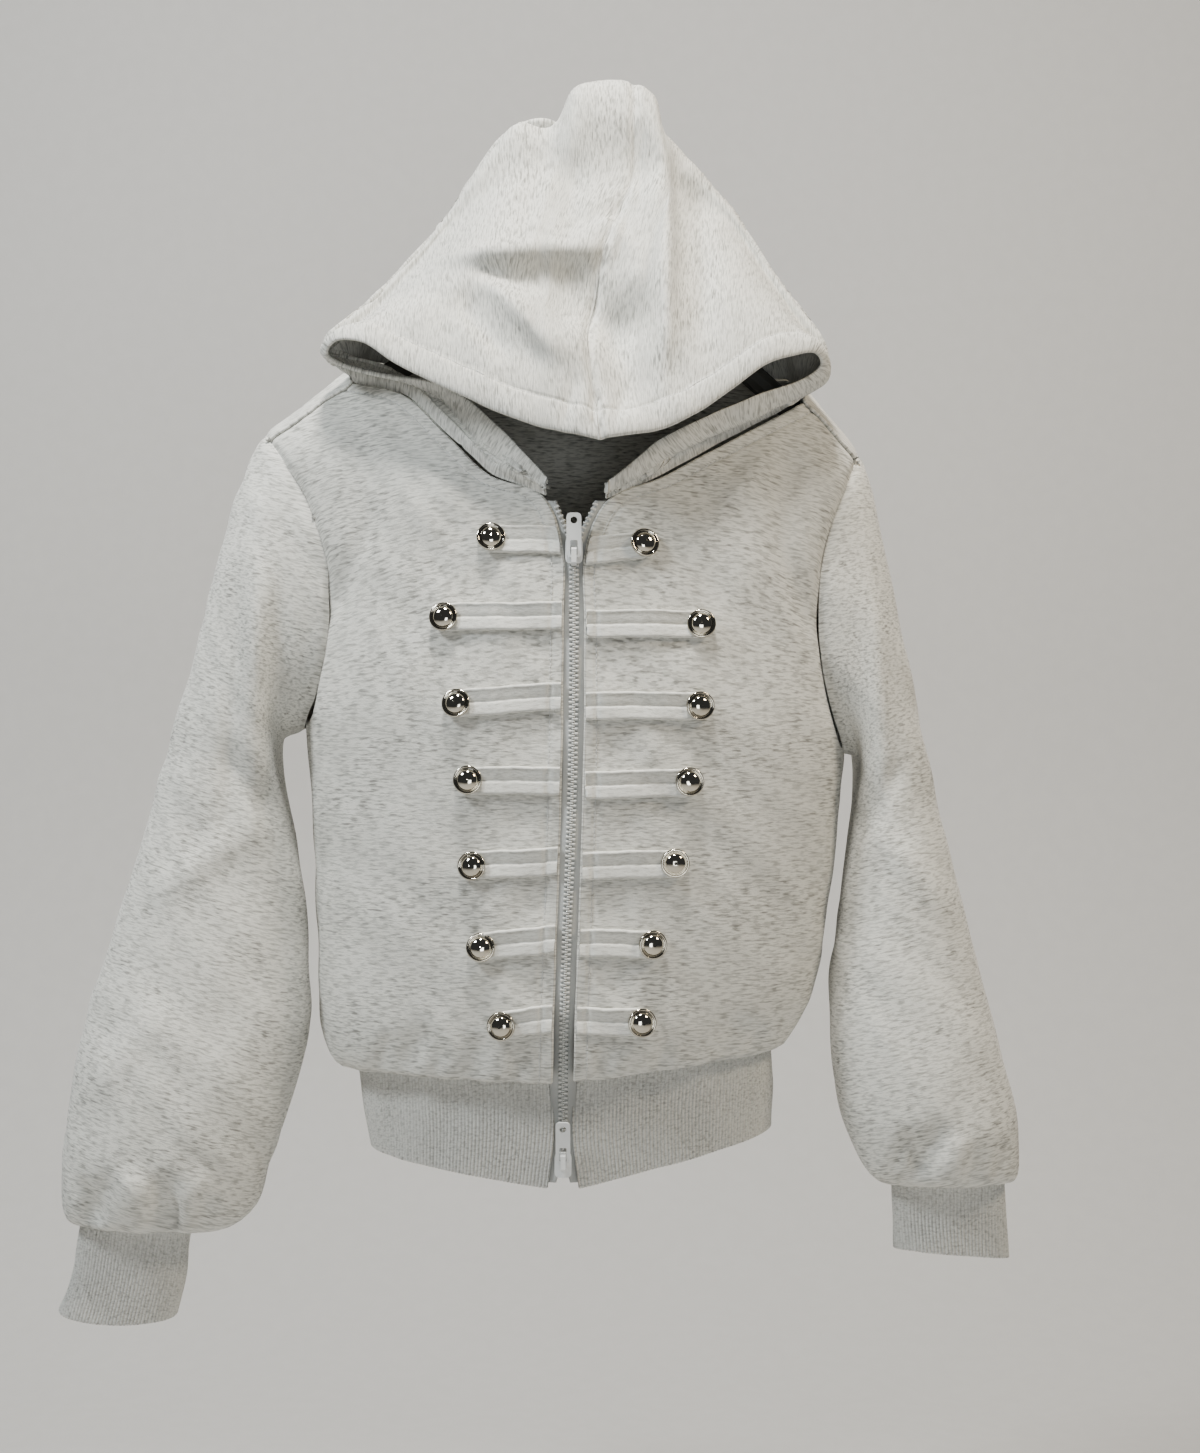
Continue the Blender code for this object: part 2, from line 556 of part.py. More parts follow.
def back_rows(left_front, right_front):
    """The back's sections: arcs below the arms, then rows that round the shoulders."""
    across = 2 * FRONT_ACROSS + NAPE_ACROSS
    half = across // 2
    rows = even(rows_of(BACK), SIDE_ROWS)
    sections = []
    middle_x = (LEFT_FRONT["chest"][3] + RIGHT_FRONT["chest"][3]) / 2.0
    for row, (middle_y, middle_z) in enumerate(rows):
        middle = np.array((middle_x, middle_y, middle_z))
        left = section_arc(middle, left_front[row, -1], LEFT_FRONT["chest"][5], half)
        right = section_arc(middle, right_front[row, -1], RIGHT_FRONT["chest"][5], half)
        sections.append(np.vstack([left[::-1], right[1:]]))
    chest = sections[-1]
    heads = [rows_of(sleeve)[0] for sleeve in (LEFT_SLEEVE, RIGHT_SLEEVE)]
    necks = [front[-1, 0] for front in (left_front, right_front)]
    nape = np.vstack([[-180.0] + [0.0] * 8, rows_of(NAPE)])
    place = np.arange(len(nape), dtype=float)
    for angle in np.arange(-180 + ARMHOLE_STEP, ARMHOLE_STEP + 1, ARMHOLE_STEP):
        at = np.interp(angle, nape[:, 0], place)
        nape_row = through(nape[1:], [max(at - 1.0, 0.0)])[0]
        middle = np.array((middle_x, nape_row[7], nape_row[8]))
        sides = []
        for head, neck, sign in zip(heads, necks, (1.0, -1.0)):
            arm = sleeve_ring(head, [angle])[0]
            shoulder = neck + (sign * nape_row[1], nape_row[2] - neck[1], nape_row[3])
            beside = neck + (sign * nape_row[4], nape_row[5] - neck[1], nape_row[6])
            quarter = beside + (middle - beside) * np.array((0.5, 0.84, 0.7))
            yoke = even([arm, shoulder], FRONT_ACROSS)
            around = even([shoulder, beside, quarter, middle], NAPE_ACROSS // 2)
            sides.append((yoke, around))
        (left_yoke, left_neck), (right_yoke, right_neck) = sides
        row = np.vstack([left_yoke, left_neck[1:], right_neck[::-1][1:], right_yoke[::-1][1:]])
        if at < 1.0:
            row = chest + (row - chest) * at
            row[0] = sleeve_ring(heads[0], [angle])[0]
            row[-1] = sleeve_ring(heads[1], [angle])[0]
        sections.append(row)
    sections[-1][:FRONT_ACROSS + 1] = left_front[-1][::-1]
    sections[-1][-FRONT_ACROSS - 1:] = right_front[-1]
    return np.array(sections)


def sleeve_rows(table):
    """A sleeve's rings, every one sampled at the armhole's angles."""
    angles = np.arange(0, 360, ARMHOLE_STEP)
    return np.array([sleeve_ring(row, angles) for row in even(rows_of(table), SLEEVE_ROWS)])


# ---- hood ----------------------------------------------------------------------------

def neck_line(front, back_half):
    """Half of the neck seam: up the front's neckline, then round the back's."""
    first = SIDE_ROWS + len(armhole_rows(ZIP_TOP_DEG))
    return np.vstack([front[first:, 0], back_half[1:]])


def hood_strip(neck, ridge, edge, loft, swing):
    """One strip of the hood, from the neck seam over the ridge to the face's edge.

    Near the hook the plain ridge swells into the pouch: with u the distance from the
    pouch's middle over half its width, the share of the pouch is (1 - u^4)^(1/4).
    """
    off = abs(ridge[0] - POUCH_MIDDLE_X) / POUCH_HALF
    share = max(0.0, 1.0 - off ** 4) ** 0.25
    path = rows_of(POUCH)
    drop = smooth_step((share - 0.9) / 0.1)
    low = np.minimum(path[:, 1], 0.0)
    pouch_z = (path[:, 1] - low) + low * drop
    near_ends = np.array([0, 1, len(path) - 2, len(path) - 1])
    pouch_z[near_ends] = path[near_ends, 1]
    height = ridge[2] - 1.0
    size = smooth_step((ridge[2] + 60.0) / 60.0) * 0.7 + 0.3
    plain = np.stack([ridge[1] + 1.0 + path[:, 2] * size, height + path[:, 3] * size], 1)
    pouch_z = pouch_z - POUCH_ROUND * min(off, 1.0) ** 3 * smooth_step(pouch_z / 20.0)
    tall = np.stack([path[:, 0], pouch_z], 1)
    profile = plain + (tall - plain) * share
    steps = even(profile, HOOD_TOP_ROWS)
    top = np.column_stack([np.full(len(steps), ridge[0]), steps])
    back = even([neck, neck + (top[0] - neck) * 0.5 + (0.0, 3.0 * size, 0.0), top[0]],
                HOOD_BACK_ROWS)
    swell = np.array((swing, -loft, loft * 0.4))
    front = even([top[-1], top[-1] + (edge - top[-1]) * 0.5 + swell, edge], HOOD_FRONT_ROWS)
    return np.vstack([back[:-1], top, front[1:]])


def low_strip(neck, ridge, edge, rows):
    """A strip of the hood's lower band, which has no ridge of its own to fold over."""
    rise = neck + (ridge - neck) * 0.35 + (0.0, 0.0, BAND_STAND)
    return even([neck, rise, ridge, edge], rows)


def hood_rows(table, neck):
    """The hood half's strips as columns, their points as rows from neck to face."""
    knots = rows_of(table)
    steps = (len(neck) - 1) * STRIPS_PER_NECK_STEP
    fractions = np.linspace(0.0, 1.0, steps + 1)
    starts = np.linspace(0.0, len(neck) - 1.0, steps + 1)
    total = HOOD_BACK_ROWS + HOOD_TOP_ROWS + HOOD_FRONT_ROWS
    strips = []
    for fraction, start in zip(fractions, starts):
        whole = min(int(start), len(neck) - 2)
        foot = neck[whole] + (neck[whole + 1] - neck[whole]) * (start - whole)
        foot = foot + (0.0, 0.0, NECK_LIFT)
        at = np.interp(fraction, knots[:, 0], np.arange(len(knots), dtype=float))
        row = through(knots, [at])[0]
        ridge, edge = row[1:4], row[4:7]
        folded = hood_strip(foot, ridge, edge, row[7], row[8])
        flat = low_strip(foot, ridge, edge, total)
        weight = smooth_step((fraction - 0.36) / 0.12)
        strips.append(flat + (folded - flat) * weight)
    return np.array(strips).transpose(1, 0, 2)


# ---- ribs ----------------------------------------------------------------------------

def resample(line, count, closed):
    """count points evenly spaced along a polyline."""
    if closed:
        line = np.vstack([line, line[:1]])
    lengths = np.linalg.norm(np.diff(line, axis=0), axis=1)
    place = np.concatenate([[0.0], np.cumsum(lengths)])
    at = np.linspace(0.0, place[-1], count + 1 if closed else count)
    if closed:
        at = at[:-1]
    return np.stack([np.interp(at, place, line[:, axis]) for axis in range(3)], 1)


def ribbed_mesh(name, rings, pitch, closed):
    """A rib piece: every second outer point raised, over a plain inner face.

    The inner face has one column for six outer ones, and each rim face joins six outer
    steps to one inner step.
    """
    per_cell = RIB_CELL
    length = np.linalg.norm(np.diff(rings[0], axis=0), axis=1).sum()
    cells = int(round(length / pitch * 2.0 / per_cell))
    fine = cells * per_cell + (0 if closed else 1)
    coarse = cells + (0 if closed else 1)
    base = Cloth(name, [resample(ring, fine, closed) for ring in rings], closed)
    if base.normals[0, fine // 2, 1] < 0:
        base.normals = -base.normals
    raised = np.zeros(fine)
    raised[1::2] = RIB_HEIGHT
    outer = base.points + base.normals * raised[None, :, None]
    inner = (base.points - base.normals * RIB_CLOTH)[:, ::per_cell][:, :coarse]
    rows = len(rings)
    count = rows * fine
    points = np.concatenate([outer.reshape(-1, 3), inner.reshape(-1, 3)])
    faces = grid_faces(rows, fine, closed)
    faces += grid_faces(rows, coarse, closed, count, reverse=True)
    for row in (0, rows - 1):
        for cell in range(cells):
            steps = [(cell * per_cell + step) % fine for step in range(per_cell + 1)]
            near = count + row * coarse + cell
            far = count + row * coarse + (cell + 1) % coarse
            faces.append([row * fine + step for step in steps] + [far, near])
    if not closed:
        for fine_column, coarse_column in ((0, 0), (fine - 1, coarse - 1)):
            for row in range(rows - 1):
                faces.append((
                    row * fine + fine_column,
                    (row + 1) * fine + fine_column,
                    count + (row + 1) * coarse + coarse_column,
                    count + row * coarse + coarse_column,
                ))
    return mesh_from(name, points, faces)


def cuff_rings(table, sleeve):
    """The sleeve's own end drawn in, then ovals that hang a little in their middle."""
    rings = [inset(sleeve.points[-1], RIB_INSET, RIB_DROP, True)]
    if rings[0][0, 0] > rings[0][len(rings[0]) // 2, 0]:
        half = len(rings[0]) // 2
        rings[0] = np.roll(rings[0], -half, axis=0)[::-1]
        rings[0] = np.roll(rings[0], 1, axis=0)
    angle = np.linspace(0.0, 2.0 * math.pi, CUFF_POINTS, endpoint=False)
    for left_x, left_z, right_x, right_z, sag, mid_y, depth in rows_of(table):
        across = (1.0 - np.cos(angle)) / 2.0
        round_y = np.sign(np.sin(angle)) * np.abs(np.sin(angle)) ** SECTION_SQUARE
        rings.append(np.stack([
            left_x + (right_x - left_x) * across,
            mid_y - depth * round_y,
            left_z + (right_z - left_z) * across - sag * np.abs(np.sin(angle)),
        ], 1))
    return rings


def inset(ring, amount, drop, closed):
    """A ring drawn in by an amount, square to its run as seen from above, and lowered."""
    if closed:
        run = np.roll(ring, -1, axis=0) - np.roll(ring, 1, axis=0)
    else:
        run = np.gradient(ring, axis=0)
    inward = unit(np.stack([-run[:, 1], run[:, 0], np.zeros(len(ring))], 1))
    towards = ring.mean(axis=0) - ring
    inward *= np.sign(np.sum(inward * towards, axis=1))[:, None]
    return ring + inward * amount - (0.0, 0.0, drop)


def hem_rings(panels):
    """The hem's open rings, from the left zip edge round the back to the right one."""
    top = np.vstack([panels["front_left"].points[0], panels["back"].points[0, 1:-1],
                     panels["front_right"].points[0, ::-1]])
    rings = [inset(top, RIB_INSET, RIB_DROP, False)]
    for row in rows_of(HEM):
        left_x, left_z, right_x, right_z, front_z, front_y, back_y = row[:7]
        middle_x = (left_x + right_x) / 2.0
        sides = []
        for inner_x, side_x, side_z in ((row[7], left_x, left_z), (row[8], right_x, right_z)):
            side = np.array((side_x, SIDE_SEAM_Y, side_z))
            front = section_arc(np.array((inner_x, front_y, front_z)), side, HEM_TURN, HEM_POINTS)
            middle = np.array((middle_x, back_y, (left_z + right_z) / 2.0 - HEM_BACK_DROP))
            rear = section_arc(middle, side, HEM_TURN, HEM_POINTS)
            sides.append(np.vstack([front, rear[::-1][1:]]))
        rings.append(np.vstack([sides[0], sides[1][::-1][1:]]))
    return rings


# ---- zip, straps and buttons ---------------------------------------------------------

def on_panel(cloth, x, z):
    """The point of a panel's face over (x, z) as seen from the front, and its normal."""
    rows, columns = cloth.points.shape[:2]
    points = cloth.points.reshape(-1, 3)
    normals = cloth.normals.reshape(-1, 3)
    corners = np.array(grid_faces(rows, columns, False))
    triangles = np.concatenate([corners[:, [0, 1, 2]], corners[:, [0, 2, 3]]])
    a, b, c = (points[triangles[:, i]][:, [0, 2]] for i in range(3))
    here = np.array((x, z))
    area = np.cross(b - a, c - a)
    share_b = np.cross(here - a, c - a) / area
    share_c = np.cross(b - a, here - a) / area
    share_a = 1.0 - share_b - share_c
    best = int(np.argmax(np.minimum(np.minimum(share_a, share_b), share_c)))
    shares = np.array((share_a[best], share_b[best], share_c[best]))
    return shares @ points[triangles[best]], unit(shares @ normals[triangles[best]])


# One half of the zip follows each cloth edge: z, the meeting line's x, how far this
# half has drawn away from it, and the y of the chain's middle.
# Columns: z, x, apart, y.
ZIP_LINE = {
    "bottom": (-666.0, -26.5, 4.0, -55.5),
    "pin": (-655.0, -26.5, 0.4, -56.5),
    "rib": (-635.0, -26.5, 0.0, -58.0),
    "rib top": (-612.0, -26.5, 0.0, -61.0),
    "fold": (-592.0, -26.2, 0.0, -67.5),
    "hip": (-560.0, -25.5, 0.0, -78.0),
    "low": (-515.0, -24.0, 0.0, -83.0),
    "waist": (-460.0, -21.8, 0.0, -85.5),
    "chest": (-400.0, -20.1, 0.0, -87.3),
    "breast": (-335.0, -19.5, 0.0, -87.0),
    "slider": (-283.0, -19.5, 0.0, -84.0),
    "parting": (-268.0, -19.2, 2.8, -81.8),
    "top": (-248.0, -18.5, 11.2, -78.5),
}


def zip_line(z):
    """The meeting line's x, a half's distance from it, and y, at a height."""
    rows = rows_of(ZIP_LINE)
    at = np.interp(z, rows[:, 0], np.arange(len(rows), dtype=float))
    _, x, apart, y = through(rows, [at])[0]
    return x, max(apart, 0.0), y


def cloth_edge(panel, z):
    """The x of a front's edge beside the zip at a height, and of the hem's edge below."""
    rows = panel.points[3:SIDE_ROWS + len(armhole_rows(ZIP_TOP_DEG)) + 1, 0]
    side = 8 if panel.points[0, -1, 0] > panel.points[0, 0, 0] else 7
    heights = [HEM["edge"][4], HEM["waist"][4], *rows[:, 2]]
    return np.interp(z, heights, [HEM["edge"][side], HEM["waist"][side], *rows[:, 0]])


def zip_mesh(name, side, panel):
    """One tape with its half of the chain, as one section drawn along the zip."""
    inner, chain, outer = SEAM_GAP / 2.0, CHAIN_WIDTH / 2.0, ZIP_OPENING / 2.0
    section = (
        (inner, -CHAIN_THICK / 2.0), (chain, -CHAIN_THICK / 2.0),
        (chain, -TAPE_THICK / 2.0), (outer, -TAPE_THICK / 2.0),
        (outer, TAPE_THICK / 2.0), (chain, TAPE_THICK / 2.0),
        (chain, CHAIN_THICK / 2.0), (inner, CHAIN_THICK / 2.0),
    )
    line = rows_of(ZIP_LINE)[:, 0]
    last = SIDE_ROWS + len(armhole_rows(ZIP_TOP_DEG))
    edge_rows = panel.points[4:last, 0, 2]
    points = []
    for z in sorted({*line[line < edge_rows[0] - 6.0], *edge_rows, *line[-3:]}):
        x, apart, y = zip_line(float(z))
        edge = abs(cloth_edge(panel, z) - x) - apart - 2.0 * SEAM_GAP
        for across, depth in section:
            reach = min(across, edge) if across < outer else edge
            points.append((x + side * (apart + reach), y + depth, z))
    rings = len(points) // len(section)
    faces = grid_faces(rings, len(section), True)
    faces.append(tuple(range(len(section))))
    faces.append(tuple((rings - 1) * len(section) + i for i in range(len(section))))
    return mesh_from(name, points, faces)


# A strap from the zip's cloth edge out to its button: where both lie, and their heights.
# Columns: zip_z, button_x, button_z.
LEFT_STRAPS = {
    "collar": (-272.5, -70.0, -271.0),
    "throat": (-318.0, -98.0, -319.0),
    "breast": (-366.5, -90.0, -371.5),
    "chest": (-417.5, -83.5, -417.5),
    "waist": (-466.0, -80.5, -469.5),
    "hip": (-513.0, -76.0, -519.0),
    "belly": (-561.5, -63.0, -566.5),
}
RIGHT_STRAPS = {
    "collar": (-279.0, 22.5, -274.5),
    "throat": (-323.0, 57.5, -323.0),
    "breast": (-372.5, 56.0, -372.5),
    "chest": (-420.5, 50.0, -418.5),
    "waist": (-469.0, 41.5, -467.5),
    "hip": (-515.5, 27.5, -517.0),
    "belly": (-563.0, 21.0, -564.5),
}
STRAP_LIFT = 0.8          # over the panel's flat facets
STRAP_STATIONS = 4


def strap_mesh(name, cloth, side, strap):
    """A strap laid on its panel: two raised lanes beside a groove, ending in a point."""
    zip_z, button_x, button_z = strap
    x, apart, _ = zip_line(zip_z)
    start = x + side * (ZIP_OPENING / 2.0 + apart + STRAP_INSET)
    end = button_x + side * (STRAP_POINT + STRAP_INSET)
    half = STRAP_WIDTH / 2.0
    edge = STRAP_THICK - STRAP_EDGE_DROP
    lanes = ((-1.0, edge), (-0.7, STRAP_THICK), (0.0, STRAP_THICK - STRAP_GROOVE),
             (0.7, STRAP_THICK), (1.0, edge), (1.0, 0.0), (0.0, 0.0), (-1.0, 0.0))
    shares = list(np.linspace(0.0, 1.0, STRAP_STATIONS))
    tip_share = abs(STRAP_POINT / (end - start))
    shares.insert(-1, 1.0 - tip_share)
    points = []
    for share in sorted(shares):
        middle_x = start + (end - start) * share
        middle_z = zip_z + (button_z - zip_z) * min(share / (1.0 - tip_share), 1.0)
        width = STRAP_TIP if share > 1.0 - 1e-6 else 1.0
        for across, height in lanes:
            foot, normal = on_panel(cloth, middle_x, middle_z + across * half * width)
            points.append(foot + normal * (STRAP_LIFT + height))
    size = len(lanes)
    rings = len(points) // size
    faces = grid_faces(rings, size, True)
    faces.append(tuple(range(size)))
    faces.append(tuple((rings - 1) * size + i for i in range(size)))
    return mesh_from(name, points, faces)


def button_mesh():
    """A domed button in its rim, as a half profile for a Screw about +Z."""
    profile = (
        (0.0, BUTTON_SEAT + BUTTON_DOME),
        (4.4, BUTTON_SEAT + BUTTON_DOME * 0.82),
        (BUTTON_RADIUS - BUTTON_RIM, BUTTON_SEAT + 1.1),
        (BUTTON_RADIUS, BUTTON_SEAT),
        (BUTTON_RADIUS - 1.0, 0.0),
        (0.0, 0.0),
    )
    mesh = bpy.data.meshes.new("button")
    mesh.from_pydata([(x * MM, 0.0, z * MM) for x, z in profile],
                     [(i, i + 1) for i in range(len(profile) - 1)], [])
    return mesh


def add_button(name, mesh, cloth, place, material, collection):
    """A button standing on its strap, turned square to the panel."""
    foot, normal = on_panel(cloth, *place)
    obj = bpy.data.objects.new(name, mesh)
    collection.objects.link(obj)
    height = STRAP_LIFT + STRAP_THICK + 2.0 * SEAM_GAP
    obj.location = Vector((foot + normal * height) * MM)
    obj.rotation_euler = Vector(normal).to_track_quat("Z", "Y").to_euler()
    turn = obj.modifiers.new("Turn", "SCREW")
    turn.steps = turn.render_steps = BUTTON_SIDES
    turn.use_merge_vertices = True
    turn.merge_threshold = 0.0001
    if not mesh.materials:
        mesh.materials.append(material)
    return obj


# ---- sliders and pulls ---------------------------------------------------------------

SLIDER_WIDTH = 10.4
SLIDER_HEIGHT = 17.0
SLIDER_PLATE = 1.5
SLIDER_CLEAR = 0.6        # between the plates and the chain
POST_WIDTH = 1.4
CROWN_WIDTH = 3.2
CROWN_HALF = 5.4          # half of its length along the zip
CROWN_WALL = 1.1
CROWN_TURN = 1.2          # how deep its corners are cut off
CROWN_REACH = 2.5         # of its outer face in front of the pull's axis
PULL_AXIS_OUT = 1.25      # of the axis in front of the slider's plate
PULL_WIDTH = 9.0
PULL_LENGTH = 27.0
PULL_THICK = 1.5
PULL_HOLE = 2.1           # radius of the round hole
SLOT_WIDTH = 4.4
SLOT_LENGTH = 9.0
PULL_BAR = 1.4            # height of the bar that the crown traps
SLIDERS = {               # z of the crown's middle, post's z over it, pull's lean
    "top": (-283.0, 11.0, 6.0),
    "bottom": (-652.0, -9.4, 10.0),
}


def outline_object(name, outlines, thick, collection):
    """A flat piece, cut from an outline with holes in it, in the XZ plane."""
    curve = bpy.data.curves.new(name, "CURVE")
    curve.dimensions = "2D"
    curve.fill_mode = "BOTH"
    curve.extrude = thick * MM / 2.0
    for outline in outlines:
        spline = curve.splines.new("POLY")
        spline.points.add(len(outline) - 1)
        for point, (x, y) in zip(spline.points, outline):
            point.co = (x * MM, y * MM, 0.0, 1.0)
        spline.use_cyclic_u = True
    drawn = bpy.data.objects.new(name + "_drawn", curve)
    collection.objects.link(drawn)
    bpy.context.view_layer.update()
    graph = bpy.context.evaluated_depsgraph_get()
    mesh = bpy.data.meshes.new_from_object(drawn.evaluated_get(graph))
    mesh.name = name
    bpy.data.objects.remove(drawn)
    form = bmesh.new()
    form.from_mesh(mesh)
    bmesh.ops.remove_doubles(form, verts=form.verts, dist=1e-6)
    bmesh.ops.recalc_face_normals(form, faces=form.faces)
    form.to_mesh(mesh)
    form.free()
    return mesh


def rounded_box(width, height, radius, steps=3):
    """The outline of a rectangle with round corners, about the origin."""
    outline = []
    for corner, (sign_x, sign_y) in enumerate(((1, 1), (-1, 1), (-1, -1), (1, -1))):
        for step in range(steps + 1):
            angle = math.radians(90.0 * corner + 90.0 * step / steps)
            outline.append((
                sign_x * (width / 2.0 - radius) + radius * math.cos(angle),
                sign_y * (height / 2.0 - radius) + radius * math.sin(angle),
            ))
    return outline


def box_mesh(name, lows, highs):
    """A box between two corners."""
    form = bmesh.new()
    bmesh.ops.create_cube(form, size=1.0)
    size = Vector(highs) - Vector(lows)
    centre = (Vector(highs) + Vector(lows)) / 2.0
    for vertex in form.verts:
        vertex.co = Vector(vertex.co[i] * size[i] + centre[i] for i in range(3)) * MM
    mesh = bpy.data.meshes.new(name)
    form.to_mesh(mesh)
    form.free()
    return mesh


def slider_frame(crown_z):
    """The place of a slider's pull axis and the slope of the zip there, in radians."""
    _, _, y = zip_line(crown_z)
    _, _, above = zip_line(crown_z + 8.0)
    _, _, below = zip_line(crown_z - 8.0)
    x, _, _ = zip_line(crown_z)
    slope = math.atan2(above - below, 16.0)
    out = CHAIN_THICK / 2.0 + SLIDER_CLEAR + SLIDER_PLATE + PULL_AXIS_OUT
    axis = Vector((x, y - out * math.cos(slope), crown_z + out * math.sin(slope)))
    return axis, -slope


def crown_mesh(name):
    """The arch that traps the pull's bar: a C-shaped side profile, extruded along X."""
    foot = PULL_AXIS_OUT + SLIDER_PLATE * 0.5
    reach = -CROWN_REACH
    wall, half = CROWN_WALL, CROWN_HALF
    turn, inner = CROWN_TURN, CROWN_TURN + 0.4
    profile = (
        (foot, half), (reach + turn, half), (reach, half - 1.4), (reach, 1.4 - half),
        (reach + turn, -half), (foot, -half), (foot, wall - half),
        (reach + inner, wall - half), (reach + wall, 2.0 - half), (reach + wall, half - 2.0),
        (reach + inner, half - wall), (foot, half - wall),
    )
    mesh = outline_object(name, [profile], CROWN_WIDTH, bpy.context.scene.collection)
    mesh.transform(Matrix(((0, 0, 1, 0), (1, 0, 0, 0), (0, 1, 0, 0), (0, 0, 0, 1))))
    return mesh


def add_slider(name, crown_z, post_up, material, parts, cutters):
    """A slider: two plates round the chain, the post between its halves, and the crown.

    Everything is placed about the pull's axis, which is the object's origin.
    """
    axis, tilt = slider_frame(crown_z)
    half, tall = SLIDER_WIDTH / 2.0, SLIDER_HEIGHT / 2.0
    side = math.copysign(1.0, post_up)
    middle = post_up - side * (tall + 1.2)
    face = PULL_AXIS_OUT
    chain = face + SLIDER_PLATE + SLIDER_CLEAR
    behind = chain + CHAIN_THICK + SLIDER_CLEAR
    low, high = middle - tall + 3.0, middle + tall + 2.0
    if side < 0:
        low, high = middle - tall - 2.0, middle + tall - 3.0
    body = outline_object(name, [[(x, z + (low + high) / 2.0) for x, z in rounded_box(
        SLIDER_WIDTH, high - low, 3.0)]], SLIDER_PLATE, bpy.context.scene.collection)
    body.transform(Matrix(((1, 0, 0, 0), (0, 0, 1, (face + SLIDER_PLATE / 2.0) * MM),
                           (0, 1, 0, 0), (0, 0, 0, 1))))
    obj = add_object(name, body, material, parts)
    extras = (
        box_mesh(name + "_back", (-half + 0.6, behind, low + 0.6),
                 (half - 0.6, behind + 1.2, high - 0.6)),
        box_mesh(name + "_post", (-POST_WIDTH / 2.0, face + 0.5, post_up - 1.0),
                 (POST_WIDTH / 2.0, behind + 0.6, post_up + 1.0)),
        crown_mesh(name + "_crown"),
    )
    place = Matrix.Translation(axis * MM) @ Matrix.Rotation(tilt, 4, "X")
    obj.matrix_world = place
    for index, extra in enumerate(extras):
        form = bmesh.new()
        form.from_mesh(extra)
        bmesh.ops.recalc_face_normals(form, faces=form.faces)
        form.to_mesh(extra)
        form.free()
        helper = bpy.data.objects.new(extra.name, extra)
        cutters.objects.link(helper)
        helper.matrix_world = place
        helper.hide_render = True
        helper.display_type = "WIRE"
        join = obj.modifiers.new(f"Join {index}", "BOOLEAN")
        join.operation = "UNION"
        join.object = helper
    return obj


def add_pull(name, crown_z, lean_deg, material, parts):
    """A pull tab with its hole and slot, origin on the bar that the crown traps."""
    axis, tilt = slider_frame(crown_z)
    middle = PULL_LENGTH / 2.0 - PULL_BAR / 2.0
    plate = [(x, y + middle) for x, y in rounded_box(PULL_WIDTH, PULL_LENGTH, 2.4)]
    slot_middle = PULL_BAR / 2.0 + SLOT_LENGTH / 2.0
    slot = [(x, y + slot_middle) for x, y in rounded_box(SLOT_WIDTH, SLOT_LENGTH, 0.8, 2)]
    hole_middle = PULL_LENGTH - PULL_BAR / 2.0 - PULL_WIDTH / 2.0
    hole = [(PULL_HOLE * math.cos(turn), hole_middle + PULL_HOLE * math.sin(turn))
            for turn in np.linspace(0.0, 2.0 * math.pi, 12, endpoint=False)]
    mesh = outline_object(name, [plate, slot, hole], PULL_THICK, bpy.context.scene.collection)
    mesh.transform(Matrix(((1, 0, 0, 0), (0, 0, 1, 0), (0, 1, 0, 0), (0, 0, 0, 1))))
    form = bmesh.new()
    form.from_mesh(mesh)
    bmesh.ops.recalc_face_normals(form, faces=form.faces)
    form.to_mesh(mesh)
    form.free()
    obj = add_object(name, mesh, material, parts)
    turn = tilt + math.radians(lean_deg)
    obj.matrix_world = Matrix.Translation(axis * MM) @ Matrix.Rotation(turn, 4, "X")
    return obj


# ---- hanger --------------------------------------------------------------------------

def add_hook(material, collection):
    """The hook: a wire from the arms up in front of the rail, over it and down behind."""
    top = CLOTH + SEAM_GAP + WIRE_RADIUS
    centre_z = top - CROOK_RADIUS
    foot_z = LEFT_ARM["root"][1] + SEAM_GAP
    route = [(RAIL_Y - CROOK_RADIUS, z) for z in np.linspace(foot_z, centre_z, 5)]
    for angle in np.linspace(180.0, 0.0, 13)[1:]:
        turn = math.radians(angle)
        route.append((RAIL_Y + CROOK_RADIUS * math.cos(turn),
                      centre_z + CROOK_RADIUS * math.sin(turn)))
    route.append((RAIL_Y + CROOK_RADIUS, CROOK_TIP))
    curve = bpy.data.curves.new("hanger_hook", "CURVE")
    curve.dimensions = "3D"
    curve.bevel_depth = WIRE_RADIUS * MM
    curve.bevel_resolution = 2
    curve.use_fill_caps = True
    spline = curve.splines.new("POLY")
    spline.points.add(len(route) - 1)
    for point, (y, z) in zip(spline.points, route):
        point.co = (POUCH_MIDDLE_X * MM, y * MM, z * MM, 1.0)
    curve.materials.append(material)
    obj = bpy.data.objects.new("hanger_hook", curve)
    collection.objects.link(obj)
    return obj


